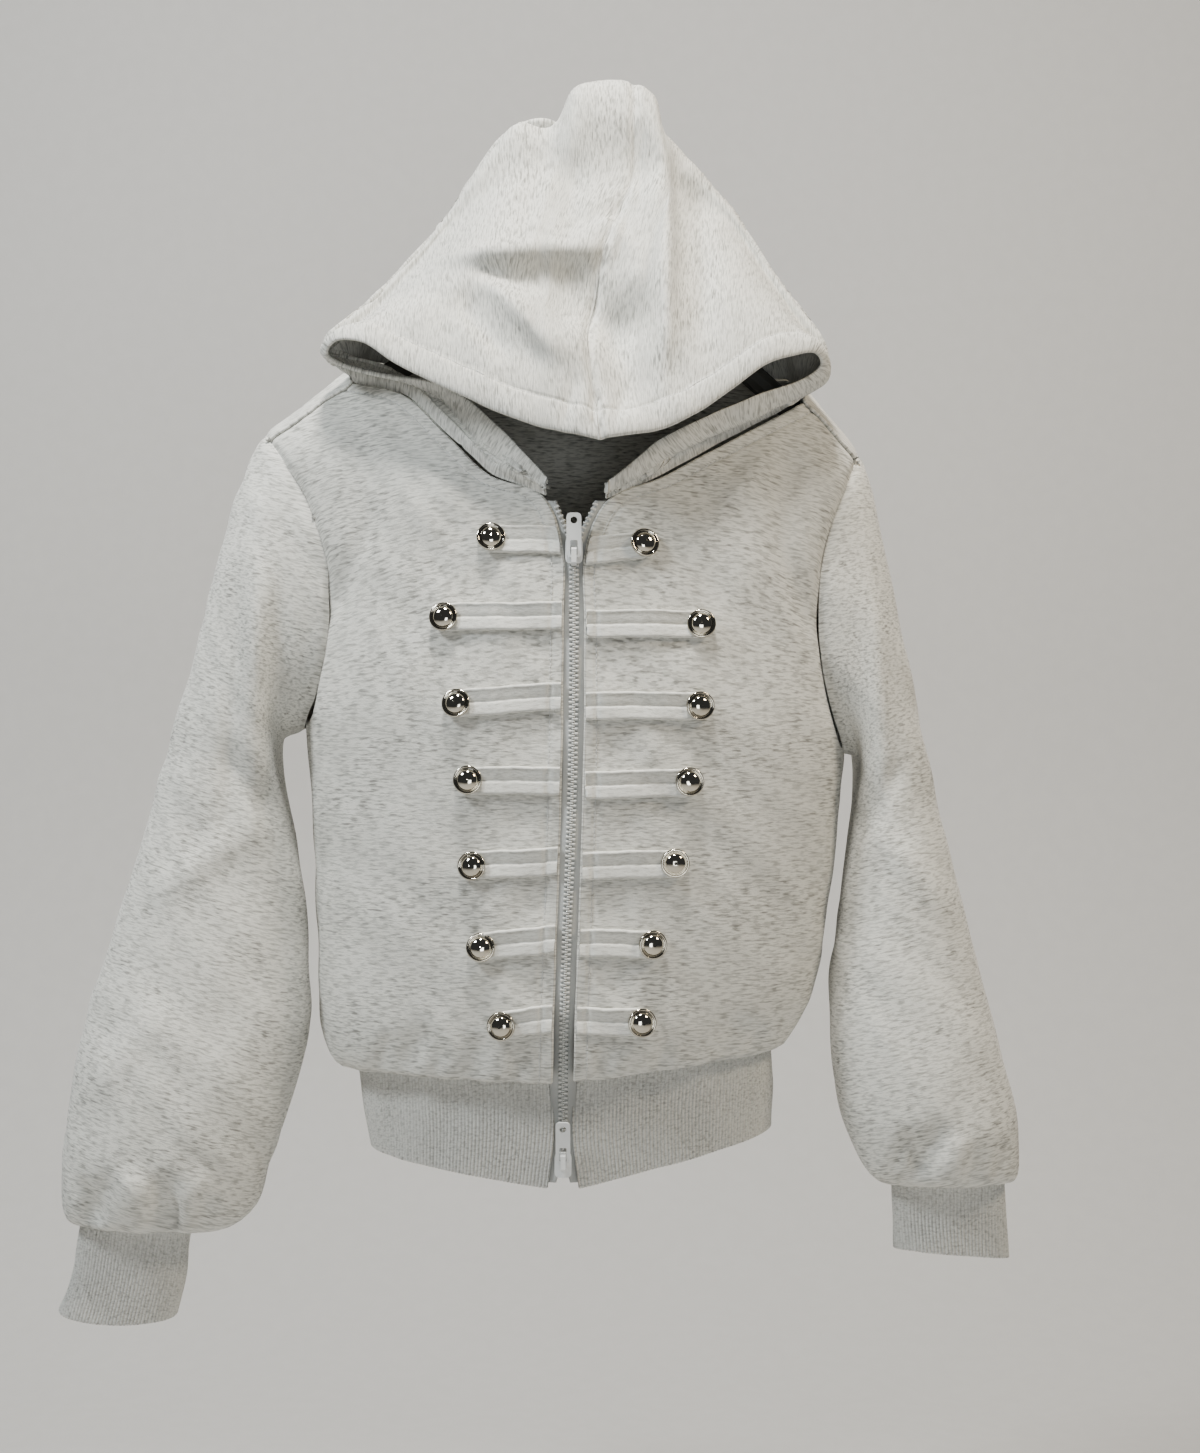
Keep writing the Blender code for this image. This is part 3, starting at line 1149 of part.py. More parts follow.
def arms_mesh():
    """The hanger's arms: an oval bar along the shoulder line, thinner at its ends."""
    left = even(rows_of(LEFT_ARM), 7)[::-1]
    right = even(rows_of(RIGHT_ARM), 7)[1:]
    line = np.vstack([left, right])
    root_y = RAIL_Y - CROOK_RADIUS
    run = unit(np.gradient(line, axis=0))
    points = []
    sides = ARM_SIDES
    reach = np.abs(line[:, 0] - POUCH_MIDDLE_X)
    for index, (x, z) in enumerate(line):
        out = reach[index] / reach.max()
        y = root_y + (SIDE_SEAM_Y - root_y) * smooth_step(out)
        tall = ARM_HEIGHT * (1.0 - ARM_THINNING * out) / 2.0
        thick = ARM_THICK / 2.0
        normal = (-run[index, 1], run[index, 0])
        for step in range(sides):
            angle = 2.0 * math.pi * step / sides
            up = tall * math.cos(angle) - tall
            points.append((x + normal[0] * up, y + thick * math.sin(angle), z + normal[1] * up))
    rings = len(line)
    faces = grid_faces(rings, sides, True)
    faces.append(tuple(range(sides)))
    faces.append(tuple((rings - 1) * sides + i for i in range(sides)))
    return mesh_from("hanger_arms", points, faces)


# ---- the whole -----------------------------------------------------------------------

def build_cloths():
    """Every cloth panel, its edges parted at the seams."""
    left_front = front_rows(LEFT_FRONT, LEFT_YOKE, LEFT_SLEEVE)
    right_front = front_rows(RIGHT_FRONT, RIGHT_YOKE, RIGHT_SLEEVE)
    back = back_rows(left_front, right_front)
    middle = FRONT_ACROSS + NAPE_ACROSS // 2
    top = back[-1]
    panels = {
        "front_left": Cloth("front_left", left_front, flip=True),
        "front_right": Cloth("front_right", right_front),
        "back": Cloth("back", back, flip=True),
        "sleeve_left": Cloth("sleeve_left", sleeve_rows(LEFT_SLEEVE), closed=True,
                             flip=True),
        "sleeve_right": Cloth("sleeve_right", sleeve_rows(RIGHT_SLEEVE), closed=True),
    }
    left_neck = neck_line(left_front, top[FRONT_ACROSS:middle + 1])
    right_neck = neck_line(right_front, top[middle:-FRONT_ACROSS][::-1])
    body = list(panels.values())
    hoods = [Cloth("hood_left", hood_rows(LEFT_HOOD, left_neck), flip=True, stands=True),
             Cloth("hood_right", hood_rows(RIGHT_HOOD, right_neck), stands=True)]
    panels |= {hood.name: hood for hood in hoods}
    for group in (body, hoods):
        share_normals(group)
        for panel in group:
            panel.bend(FRONT_FOLDS, BACK_FOLDS)
        share_normals(group)
    zip_top = SIDE_ROWS + len(armhole_rows(ZIP_TOP_DEG))
    for name in ("front_left", "front_right"):
        panels[name].normals[:zip_top, 0, 0] = 0.0
        panels[name].normals[:, 0] = unit(panels[name].normals[:, 0])
    top = panels["back"].normals[-1]
    for word, nape in (("left", top[FRONT_ACROSS:middle + 1]),
                       ("right", top[middle:-FRONT_ACROSS][::-1])):
        line = neck_line(panels[f"front_{word}"].normals, nape)
        hood = panels[f"hood_{word}"]
        steps = hood.points.shape[1]
        at = np.linspace(0.0, len(line) - 1.0, steps)
        low = np.minimum(at.astype(int), len(line) - 2)
        share = (at - low)[:, None]
        hood.normals[0] = unit(line[low] * (1.0 - share) + line[low + 1] * share)
    return panels


def part_seams(panels):
    for name in ("front_left", "front_right"):
        panels[name].part_edge("right")
        panels[name].part_edge("top")
    for side in ("left", "right", "top"):
        panels["back"].part_edge(side)
    for name in ("sleeve_left", "sleeve_right"):
        panels[name].part_edge("bottom", SEAM_GAP)
    for name in ("hood_left", "hood_right"):
        panels[name].part_edge("right")
        panels[name].part_edge("bottom", SEAM_GAP * 3.0)


def main():
    clear_scene()
    parts = make_collection("zip_hoodie")
    cutters = make_collection("cutters")
    knit = make_material("heather_knit", CLOTH_COLOUR, 0.9)
    rib = make_material("rib_knit", RIB_COLOUR, 0.9)
    zip_paint = make_material("zip_paint", ZIP_COLOUR, 0.35)
    nickel = make_material("nickel", NICKEL_COLOUR, 0.15, 1.0)
    hanger_black = make_material("hanger_black", HANGER_COLOUR, 0.45)

    panels = build_cloths()
    part_seams(panels)
    for name, panel in panels.items():
        add_object(name, wall_mesh(panel), knit, parts)
    for word, table in (("left", LEFT_CUFF), ("right", RIGHT_CUFF)):
        rings = cuff_rings(table, panels[f"sleeve_{word}"])
        name = f"cuff_{word}"
        add_object(name, ribbed_mesh(name, rings, CUFF_PITCH, True), rib, parts)
    hem = ribbed_mesh("hem_rib", hem_rings(panels), HEM_PITCH, False)
    add_object("hem_rib", hem, rib, parts)

    button = button_mesh()
    for word, side, straps in (("left", -1.0, LEFT_STRAPS), ("right", 1.0, RIGHT_STRAPS)):
        panel = panels[f"front_{word}"]
        for number, strap in enumerate(straps.values(), start=1):
            name = f"strap_{word}_{number}"
            add_object(name, strap_mesh(name, panel, side, strap), knit, parts)
            add_button(f"button_{word}_{number}", button, panel, strap[1:], nickel, parts)
        add_object(f"zip_{word}", zip_mesh(f"zip_{word}", side, panel), zip_paint, parts)

    for word, (crown_z, post_up, lean_deg) in SLIDERS.items():
        add_slider(f"slider_{word}", crown_z, post_up, zip_paint, parts, cutters)
        add_pull(f"pull_{word}", crown_z, lean_deg, zip_paint, parts)

    add_object("hanger_arms", arms_mesh(), hanger_black, parts)
    add_hook(hanger_black, parts)


if __name__ == "__main__":
    main()
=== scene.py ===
"""Looks of a heather zip hoodie that hangs by its hood over a plain hanger's hook.

Every cloth piece is a thin wall computed from the garment's sections: coarse grids of
points in millimetres are drawn from short tables, refined with Catmull-Rom curves, and
then creased, seamed and given their finer form. +X is the viewer's right, -Y towards the
viewer and +Z up, with the origin where a rail carries the hood under the hook.
"""

from __future__ import annotations

import json
import logging
import math
from dataclasses import dataclass, field
from enum import Enum
from typing import Iterable, Sequence

import bpy
import numpy as np
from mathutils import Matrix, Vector

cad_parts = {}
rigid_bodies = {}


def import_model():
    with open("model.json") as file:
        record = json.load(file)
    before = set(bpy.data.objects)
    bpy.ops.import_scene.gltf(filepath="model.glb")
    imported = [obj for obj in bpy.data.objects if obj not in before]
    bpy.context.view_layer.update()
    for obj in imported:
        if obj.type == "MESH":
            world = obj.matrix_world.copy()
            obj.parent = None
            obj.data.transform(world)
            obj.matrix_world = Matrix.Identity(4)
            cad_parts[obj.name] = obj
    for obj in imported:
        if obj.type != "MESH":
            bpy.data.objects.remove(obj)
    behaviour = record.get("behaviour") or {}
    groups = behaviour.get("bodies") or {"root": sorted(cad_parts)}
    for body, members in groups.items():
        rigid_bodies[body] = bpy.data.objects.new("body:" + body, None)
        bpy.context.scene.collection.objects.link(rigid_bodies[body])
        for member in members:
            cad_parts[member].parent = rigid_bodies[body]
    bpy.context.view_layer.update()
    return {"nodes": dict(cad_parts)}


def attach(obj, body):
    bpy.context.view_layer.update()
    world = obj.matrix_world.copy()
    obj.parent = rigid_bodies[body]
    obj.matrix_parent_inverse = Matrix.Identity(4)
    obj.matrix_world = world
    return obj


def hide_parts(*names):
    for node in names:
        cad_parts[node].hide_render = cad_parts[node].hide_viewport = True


LOG = logging.getLogger("zip_hoodie")
Array = np.ndarray
Row = tuple[float, ...]
Table = dict[str, Row]
MM = 0.001
UP = np.array((0.0, 0.0, 1.0))


class Slot(Enum):
    """The record's material slots of the pieces that are drawn here."""

    HEATHER = "heather_knit"
    RIB = "rib_knit"
    ZIP = "zip_paint"
    NICKEL = "nickel"


class Held(Enum):
    """How a sheet of cloth is held."""

    HUNG = "hung"
    GATHERED = "gathered"
    STRETCHED = "stretched"
    DRAPED = "draped"


class Grain(Enum):
    """How the heather's streaks lie on a piece."""

    LEVEL = "level"
    ROUND = "round"
    DOWN = "down"


@dataclass(frozen=True)
class Sizes:
    """Working sizes of cloth, seams and trims, in millimetres."""

    wall: float = 2.2
    rib_wall: float = 1.5
    rib_pitch: float = 2.4
    rib_rise: float = 0.85
    grid_step: float = 3.3
    edge_step: float = 0.7
    seam_depth: float = 1.9
    seam_width: float = 3.4
    brim_width: float = 21.0
    brim_rise: float = 2.4
    brim_groove: float = 1.5
    brim_groove_width: float = 1.3
    hood_wall: float = 1.1
    brim_wall: float = 3.2
    zip_draw: float = 1.9
    stitch_depth: float = 1.1
    stitch_width: float = 1.0
    stitch_inset: float = 7.2
    stitch_length: float = 2.6
    stitch_pitch: float = 3.4
    thread_radius: float = 0.26
    thread_lift: float = 0.12
    strap_width: float = 16.5
    tooth_pitch: float = 2.9
    neck_lift: float = 1.4
    band_stand: float = 5.0


SIZE = Sizes()


def table(text: str) -> Table:
    """Read a table of numbers: a line for each row, its name, a colon and its numbers.

    Args:
        text: The table.

    Returns:
        The rows by name, in their order.
    """
    rows = (line.split(":") for line in text.strip().splitlines())
    return {name.strip(): tuple(float(part) for part in parts.split())
            for name, parts in rows}


# ---- tables of the form, in millimetres -------------------------------------------------

# One half of the front: a row for each section, bottom first. The inner end lies on the
# zip's cloth edge and the outer end on the side seam; turn is how far the section turns.
# Columns: inner_x, inner_y, inner_z, outer_x, outer_z, turn.
LEFT_FRONT = table("""
    rib seam: -32 -60 -591 -157 -590 86
    fold: -32 -71 -604 -170 -599 86
    bulge: -31.5 -78 -590 -181 -584 86
    hip: -30.5 -82 -550 -184.5 -545 88
    waist: -27.5 -86 -470 -187 -466 88
    chest: -25.5 -89 -395 -193 -389 88
""")
RIGHT_FRONT = table("""
    rib seam: -21 -60 -591 103 -580 86
    fold: -21 -71 -602 112 -588 86
    bulge: -20.5 -78 -588 124 -572 86
    hip: -19.5 -82 -550 136 -543 88
    waist: -16.5 -86 -470 147 -468 88
    chest: -14.5 -89 -395 153 -404 88
""")
OUTER_X, TURN = 3, 5        # places in those rows
SIDE_SEAM_Y = 2.0
ZIP_TOP_DEG = 100           # round the armhole, level with the zip's top
# Above the chest the inner end climbs the zip and then the neckline, while the outer end
# follows the armhole, at this angle down from the shoulder tip.
# Columns: inner_x, inner_y, inner_z, armhole_deg, turn.
LEFT_YOKE = table("""
    breast: -25 -88 -330 145 74
    strap: -25 -84.5 -280 120 62
    zip top: -37 -79 -246 100 55
    throat: -70 -73 -232 80 50
    neck: -95 -63 -208 60 45
    collar: -124 -48 -180 40 40
    shoulder: -161 -30 -169 20 34
""")
RIGHT_YOKE = table("""
    breast: -14 -88 -330 145 74
    strap: -14 -84.5 -280 120 62
    zip top: 0 -79 -248 100 55
    throat: 32 -73 -234 80 50
    neck: 64 -63 -216 60 45
    collar: 96 -48 -198 40 40
    shoulder: 126 -30 -181 20 34
""")
# The back between the side seams: how deep its middle stands and how high it lies.
# Columns: middle_y, middle_z.
BACK = table("""
    rib seam: 56 -586
    fold: 66 -597
    bulge: 73 -582
    hip: 75 -548
    waist: 74 -470
    chest: 73 -396
""")
# Above the chest each row runs from armhole to neck point, then along the neck. in_x is
# measured from the front's neck point towards the middle, up_z from its height.
# Columns: armhole_deg, in_x, y, up_z, side_in_x, side_y, side_up_z, middle_y, middle_z.
NAPE = table("""
    blade: -110 30 60 -122 62 67 -124 71 -318
    upper: -66 14 51 -56 42 58 -56 63 -238
    behind: -30 1 30 -2 22 45 -8 54 -192
    ridge: 0 -2 4 15 12 27 10 50 -173
    seam: 20 0 -30 0 8 2 18 46 -160
""")

# A sleeve: a row for each ring from the armhole down. The outer point lies over the arm,
# the inner one under it; bow draws the ring's front and back towards the body.
# Columns: outer_x, outer_z, inner_x, inner_z, mid_y, depth, bow.
LEFT_SLEEVE = table("""
    head: -219 -199 -193 -389 2 46 33
    cap: -231 -224 -206 -392 2 46 20
    upper: -243 -262 -210 -401 1 43 9
    biceps: -262 -335 -205 -428 0 40 2
    elbow: -285 -419 -196 -470 0 40 0
    forearm: -306 -490 -190.5 -520 -2 42 0
    lower: -328 -560 -189 -565 -4 45 0
    puff: -338 -605 -195 -605 -6 47 0
    bell: -345 -655 -210 -652 -8 45 0
    fold: -344 -696 -231 -702 -8 37 0
    cuff seam: -333.5 -692 -263 -696 -8 21 0
""")
RIGHT_SLEEVE = table("""
    head: 164 -211 153 -404 2 46 26
    cap: 170 -236 160 -404 2 46 17
    upper: 177 -268 162 -412 1 43 9
    biceps: 191 -335 158 -434 0 40 2
    elbow: 208 -419 153 -472 0 40 0
    forearm: 226 -490 147 -515 -2 42 0
    lower: 243 -560 142.5 -552 -4 45 0
    puff: 253 -598 144 -592 -6 46 0
    bell: 262 -640 151 -636 -8 44 0
    fold: 261 -671 169 -673 -8 37 0
    cuff seam: 253.5 -667 181 -667 -8 21 0
""")
# A cuff below its seam: the x and z of both sides, how far its middle hangs below them,
# the y of its middle, and its depth.
# Columns: left_x, left_z, right_x, right_z, sag, mid_y, depth.
LEFT_CUFF = table("""
    waist: -338 -728 -268 -732 2 -7 17
    edge: -347 -756 -273.5 -758 5 -7 15
""")
RIGHT_CUFF = table("""
    waist: 183 -694 254 -696 0 -7 17
    edge: 184 -716 256 -722 -1 -7 15
""")
# Columns: left_x, left_z, right_x, right_z, front_z, front_y, back_y, left_zip_x,
# right_zip_x.
HEM = table("""
    waist: -154.5 -622 106 -612 -632 -58 53 -32.6 -20.4
    edge: -150 -652 106 -640 -669 -55 48 -36.6 -16.4
""")
HEM_Z = 4                   # place of front_z in those rows
HEM_ZIP_X = {"front_left": 7, "front_right": 8}
HEM_TURN_DEG = 86.0
HEM_SAG = 4.0               # of the hem's back below its sides
RIB_INSET = 1.4             # of a rib piece's seam behind the fold of its cloth
RIB_DROP = 0.5
RIB_ROWS = 13
RIB_POINTS = 6              # a rib
RIB_POWER = 0.6             # under 1 makes ribs fuller than a cosine
RIB_LINING = 8              # points over which a rib's inner face is evened
OVAL_POINTS = 72            # of a cuff's oval
HEM_POINTS = 24             # of a quarter of the hem

# The hood: a row for each strip from neck seam to face edge, zip end first. neck is how
# far along its half of the neck seam the strip starts. The ridge is the strip's highest
# line, between back layer and front layer; loft is how far the front layer swells, and
# swing how far its middle lies to the side.
# Columns: neck, ridge_x, ridge_y, ridge_z, edge_x, edge_y, edge_z, loft, swing.
LEFT_HOOD = table("""
    zip end: 0 -37 -81 -240 -36 -83 -235 0 0
    throat: 0.08 -56 -75 -227 -50 -80 -219 1 0
    roll: 0.16 -79 -64 -210 -72 -73 -197 2 0
    tuck: 0.24 -98 -50 -186 -98 -63 -177 2 0
    side: 0.35 -136 -34 -162 -138 -53 -169 3 0
    corner: 0.43 -174 -32 -147 -170 -54 -161 4 0
    turn: 0.49 -170 -34 -136 -168 -66 -149 6 0
    slope: 0.55 -148 -26 -116 -148 -76 -151 8 0
    mid: 0.61 -122 -16 -86 -124 -84 -167 9 0
    high: 0.67 -92 -8 -48 -96 -91 -181 10 0
    shelf: 0.73 -66 -2 -5 -66 -98 -196 10 -2
    bump side: 0.8 -34 1 2 -42 -103 -205 8 -6
    centre: 1 18 3 1 -4 -109 -214 6 -16
""")
RIGHT_HOOD = table("""
    zip end: 0 0 -82 -242 1 -85 -237 0 0
    throat: 0.08 20 -80 -230 18 -84 -223 1 0
    roll: 0.16 40 -76 -217 34 -80 -210 2 0
    tuck: 0.24 66 -69 -205 60 -74 -197 2 0
    side: 0.35 94 -60 -192 94 -68 -182 3 0
    corner: 0.43 134 -40 -165 128 -58 -168 4 0
    turn: 0.49 135 -36 -143 129 -66 -157 6 0
    slope: 0.55 117 -28 -116 112 -76 -160 8 0
    mid: 0.61 98 -18 -86 93 -84 -168 9 0
    high: 0.67 76 -9 -50 70 -91 -186 10 0
    shelf: 0.73 57 -3 -28 49 -98 -200 10 -2
    bump side: 0.8 39 0 -8 30 -103 -208 8 -6
    centre: 1 18 3 1 -4 -109 -214 6 -16
""")
# The pouch of cloth over the hook: the path of its middle from the rail's front, over
# the rail, round the hook's end and back over its top, beside the plain ridge's path.
POUCH_MIDDLE_X = 3.0
POUCH_HALF = 35.0
POUCH_ROUND = 11.0          # how far its crown falls off to the sides
POUCH_SINKS = 0.9           # the share of the pouch from which it dips behind the rail
CROWN = 20.0                # the crown's height over the rail
RIDGE_SHRINK = 60.0         # how far below the hook the ridge has its smallest section
RIDGE_SMALLEST = 0.3
# Columns: pouch_y, pouch_z, ridge_y, ridge_z.
POUCH = table("""
    rail foot: -1 -34 -3 -35
    rail front: -1 -19 -3.5 -22
    rail corner: 4.6 -5.6 -4 -11
    rail top: 18 0 -4 -4
    rail far corner: 31.4 -5.6 -3.5 -1.5
    rail back: 37 -19 -3 -0.6
    under hook end: 42 -32 -2 -0.2
    behind hook end: 49 -24 -1 0
    hook back: 52 -4 0 0
    crown back: 43 16 -1 0
    crown: 24 28 -2.5 -0.2
    brow: 4 30 -5 -1
    forehead: -12 19 -9 -5
    front top: -19 -4 -14 -16
    front: -22 -34 -19 -34
""")

# Large folds as seen from the front or from behind: the fold's middle, half of its run
# along x and z, its half width, and how far it stands out (a trough is negative).
# Columns: x, z, run_x, run_z, half_width, rise.
FRONT_FOLDS = table("""
    hood brow: -50 -86 55 6 15 4
    hood hollow: -45 -112 60 14 16 -5
    hood drape: -38 -138 26 -32 12 4
    hood right break: 36 -90 5 70 12 4
    left breast: -110 -255 20 -38 16 2
    right breast: 88 -265 10 40 16 2
    left sleeve long: -221 -320 10 95 15 4
    left sleeve gather: -316 -682 10 18 9 -6
    left sleeve pinch: -276 -684 4 20 9 -7
    right sleeve gather: 196 -655 12 22 9 -6
    right sleeve pinch: 228 -660 4 16 9 -4
    left hip: -120 -585 12 16 10 -4
    left hem pinch: -80 -590 3 16 8 -4
    right hip: 78 -580 10 16 10 -4
""")
BACK_FOLDS = table("""
    left blade: -105 -300 20 -60 18 4
    right blade: 68 -305 18 60 18 4
    small of back: -25 -520 70 8 16 -4
    left back hip: -110 -580 8 18 10 -4
    right back hip: 60 -575 8 18 10 -4
    left sleeve back: -255 -520 18 90 16 4
    right sleeve back: 195 -520 14 90 16 4
    left cuff back: -300 -680 4 20 9 -6
    right cuff back: 216 -655 4 20 9 -6
""")

# How finely the cloth is divided
SIDE_ROWS = 9               # rows of the body below the underarm
ARMHOLE_STEP = 20           # degrees between rows round an armhole
FRONT_ACROSS = 6            # columns of a half front, and of the back over each shoulder
NAPE_ACROSS = 12            # columns of the back between the neck points
NAPE_QUARTER = (0.5, 0.84, 0.7)  # share of the way from neck side to middle, in x, y, z
SLEEVE_ROWS = 15
STRIPS_PER_NECK_STEP = 2
HOOD_LIFTS = (0.36, 0.12)   # where along the neck the band becomes a hood, and how fast
BAND_RISE = 0.35            # of the way from neck seam to ridge, where the band stands
HOOD_BACK_ROWS = 4
HOOD_TOP_ROWS = 11
HOOD_FRONT_ROWS = 6
SECTION_SQUARE = 0.86       # under 1 makes a section flatter in front

# One half of the zip follows each cloth edge: z, the meeting line's x, how far this
# half has drawn away from it, and the y of the chain's middle.
# Columns: z, x, apart, y.
ZIP_LINE = table("""
    bottom: -666 -26.5 4 -55.5
    pin: -655 -26.5 0.4 -56.5
    rib: -635 -26.5 0 -58
    rib top: -612 -26.5 0 -61
    fold: -592 -26.2 0 -67.5
    hip: -560 -25.5 0 -78
    low: -515 -24 0 -83
    waist: -460 -21.8 0 -85.5
    chest: -400 -20.1 0 -87.3
    breast: -335 -19.5 0 -87
    slider: -283 -19.5 0 -84
    parting: -268 -19.2 2.8 -81.8
    top: -248 -18.5 11.2 -78.5
""")


# A strap from the zip's cloth edge out to its button: where both lie, and their heights.
# Columns: zip_z, button_x, button_z.
LEFT_STRAPS = table("""
    collar: -272.5 -70 -271
    throat: -318 -98 -319
    breast: -366.5 -90 -371.5
    chest: -417.5 -83.5 -417.5
    waist: -466 -80.5 -469.5
    hip: -513 -76 -519
    belly: -561.5 -63 -566.5
""")
RIGHT_STRAPS = table("""
    collar: -279 22.5 -274.5
    throat: -323 57.5 -323
    breast: -372.5 56 -372.5
    chest: -420.5 50 -418.5
    waist: -469 41.5 -467.5
    hip: -515.5 27.5 -517
    belly: -563 21 -564.5
""")

ZIP_HALF = 5.5              # from the zip's middle to a front's cloth edge


# ---- curves --------------------------------------------------------------------------


def rows_of(sections: Table) -> Array:
    """Turn a table of named rows into an array.

    Args:
        sections: Rows of equal length, by name.

    Returns:
        The rows in their order.
    """
    return np.array(list(sections.values()), float)


def through(knots: Array, at: Array) -> Array:
    """Read a Catmull-Rom curve.

    With p the share of the step and k0..k3 the four knots round it, the point is
    k1 + p/2 (k2 - k0 + p (2 k0 - 5 k1 + 4 k2 - k3 + p (3 (k1 - k2) + k3 - k0))).

    Args:
        knots: Knots along the first axis.
        at: Places in knot steps.

    Returns:
        One point for each place.
    """
    knots = np.asarray(knots, float)
    last = len(knots) - 1
    at = np.clip(np.asarray(at, float), 0.0, last)
    start = np.minimum(at.astype(int), last - 1)
    part = (at - start).reshape((-1,) + (1,) * (knots.ndim - 1))
    before = knots[np.maximum(start - 1, 0)]
    here, there = knots[start], knots[start + 1]
    after = knots[np.minimum(start + 2, last)]
    third = 3 * (here - there) + after - before
    second = 2 * before - 5 * here + 4 * there - after + part * third
    return here + 0.5 * part * (there - before + part * second)


def run_of(line: Array, axis: int = 0) -> Array:
    """Measure how far along a line, or along each line of a grid, its points lie.

    Args:
        line: Points along the last axis.
        axis: The axis that the line runs along.

    Returns:
        Distances from the first point.
    """
    steps = np.linalg.norm(np.diff(line, axis=axis), axis=-1)
    return np.concatenate([np.zeros_like(np.take(steps, [0], axis)),
                           np.cumsum(steps, axis)], axis)


def read_line(line: Array, run: Array, at: Array) -> Array:
    """Read a line of points at distances along it.

    Args:
        line: The points.
        run: Their own distances.
        at: The wanted distances.

    Returns:
        One point for each.
    """
    return np.stack([np.interp(at, run, line[:, axis]) for axis in range(3)], 1)


def steps_of(count: int) -> Array:
    """Number the knots of a curve from 0, as floats."""
    return np.arange(count, dtype=float)


def even(knots: Array, count: int) -> Array:
    """Spread points evenly over the knots' steps.

    Args:
        knots: Knots along the first axis.
        count: Number of steps.

    Returns:
        count + 1 points.
    """
    return through(knots, np.linspace(0.0, len(knots) - 1.0, count + 1))


def unit(vectors: Array) -> Array:
    """Scale vectors to length one.

    Args:
        vectors: Vectors along the last axis.

    Returns:
        The unit vectors.
    """
    return vectors / np.maximum(np.linalg.norm(vectors, axis=-1, keepdims=True), 1e-9)


def smooth_step(value: Array | float) -> Array:
    """Ease between 0 and 1 as 3 v^2 - 2 v^3.

    Args:
        value: Any values; they are clipped to 0..1.

    Returns:
        The eased values.
    """
    value = np.clip(value, 0.0, 1.0)
    return value * value * (3.0 - 2.0 * value)


def spots(length: float, step: float, fine: Sequence[float]) -> Array:
    """Place columns along a length, closer together near its ends.

    Args:
        length: The length in millimetres.
        step: The usual distance between two columns.
        fine: How far the close columns reach from the first and from the last end.

    Returns:
        Shares of the length, from 0 to 1.
    """
    low, high = (np.arange(0.0, max(reach, 1e-6), SIZE.edge_step) for reach in fine)
    high = length - high[::-1]
    count = max(int(math.ceil((high[0] - low[-1]) / step)), 1)
    middle = np.linspace(low[-1], high[0], count + 1)
    return np.concatenate([low[:-1], middle, high[1:]]) / length


# ---- surfaces ------------------------------------------------------------------------

LEVEL_DEPTH = 0.5           # share of a step in y that counts as height on a level grain
SHOULDER_TURN = (-400.0, 150.0)  # where the body starts to turn in, and over how far
EDGE_KEPT = (5.0, 25.0)     # beside an edge: not smoothed, and how smoothing sets in
FOLD_FACING = 2.0           # how soon a face that looks sideways has no fold
FOLD_END = 1.35             # of its half run, where a fold has died out
WAVE_BEND = (1.7, 0.37, 2.0)  # a wave's own wandering: height, pitch and phase
POINT_MATCH = 20.0          # points are the same to 1 / 20 mm
FIND_THIN, FIND_ROUNDS, FIND_STEP = 4, 12, 6


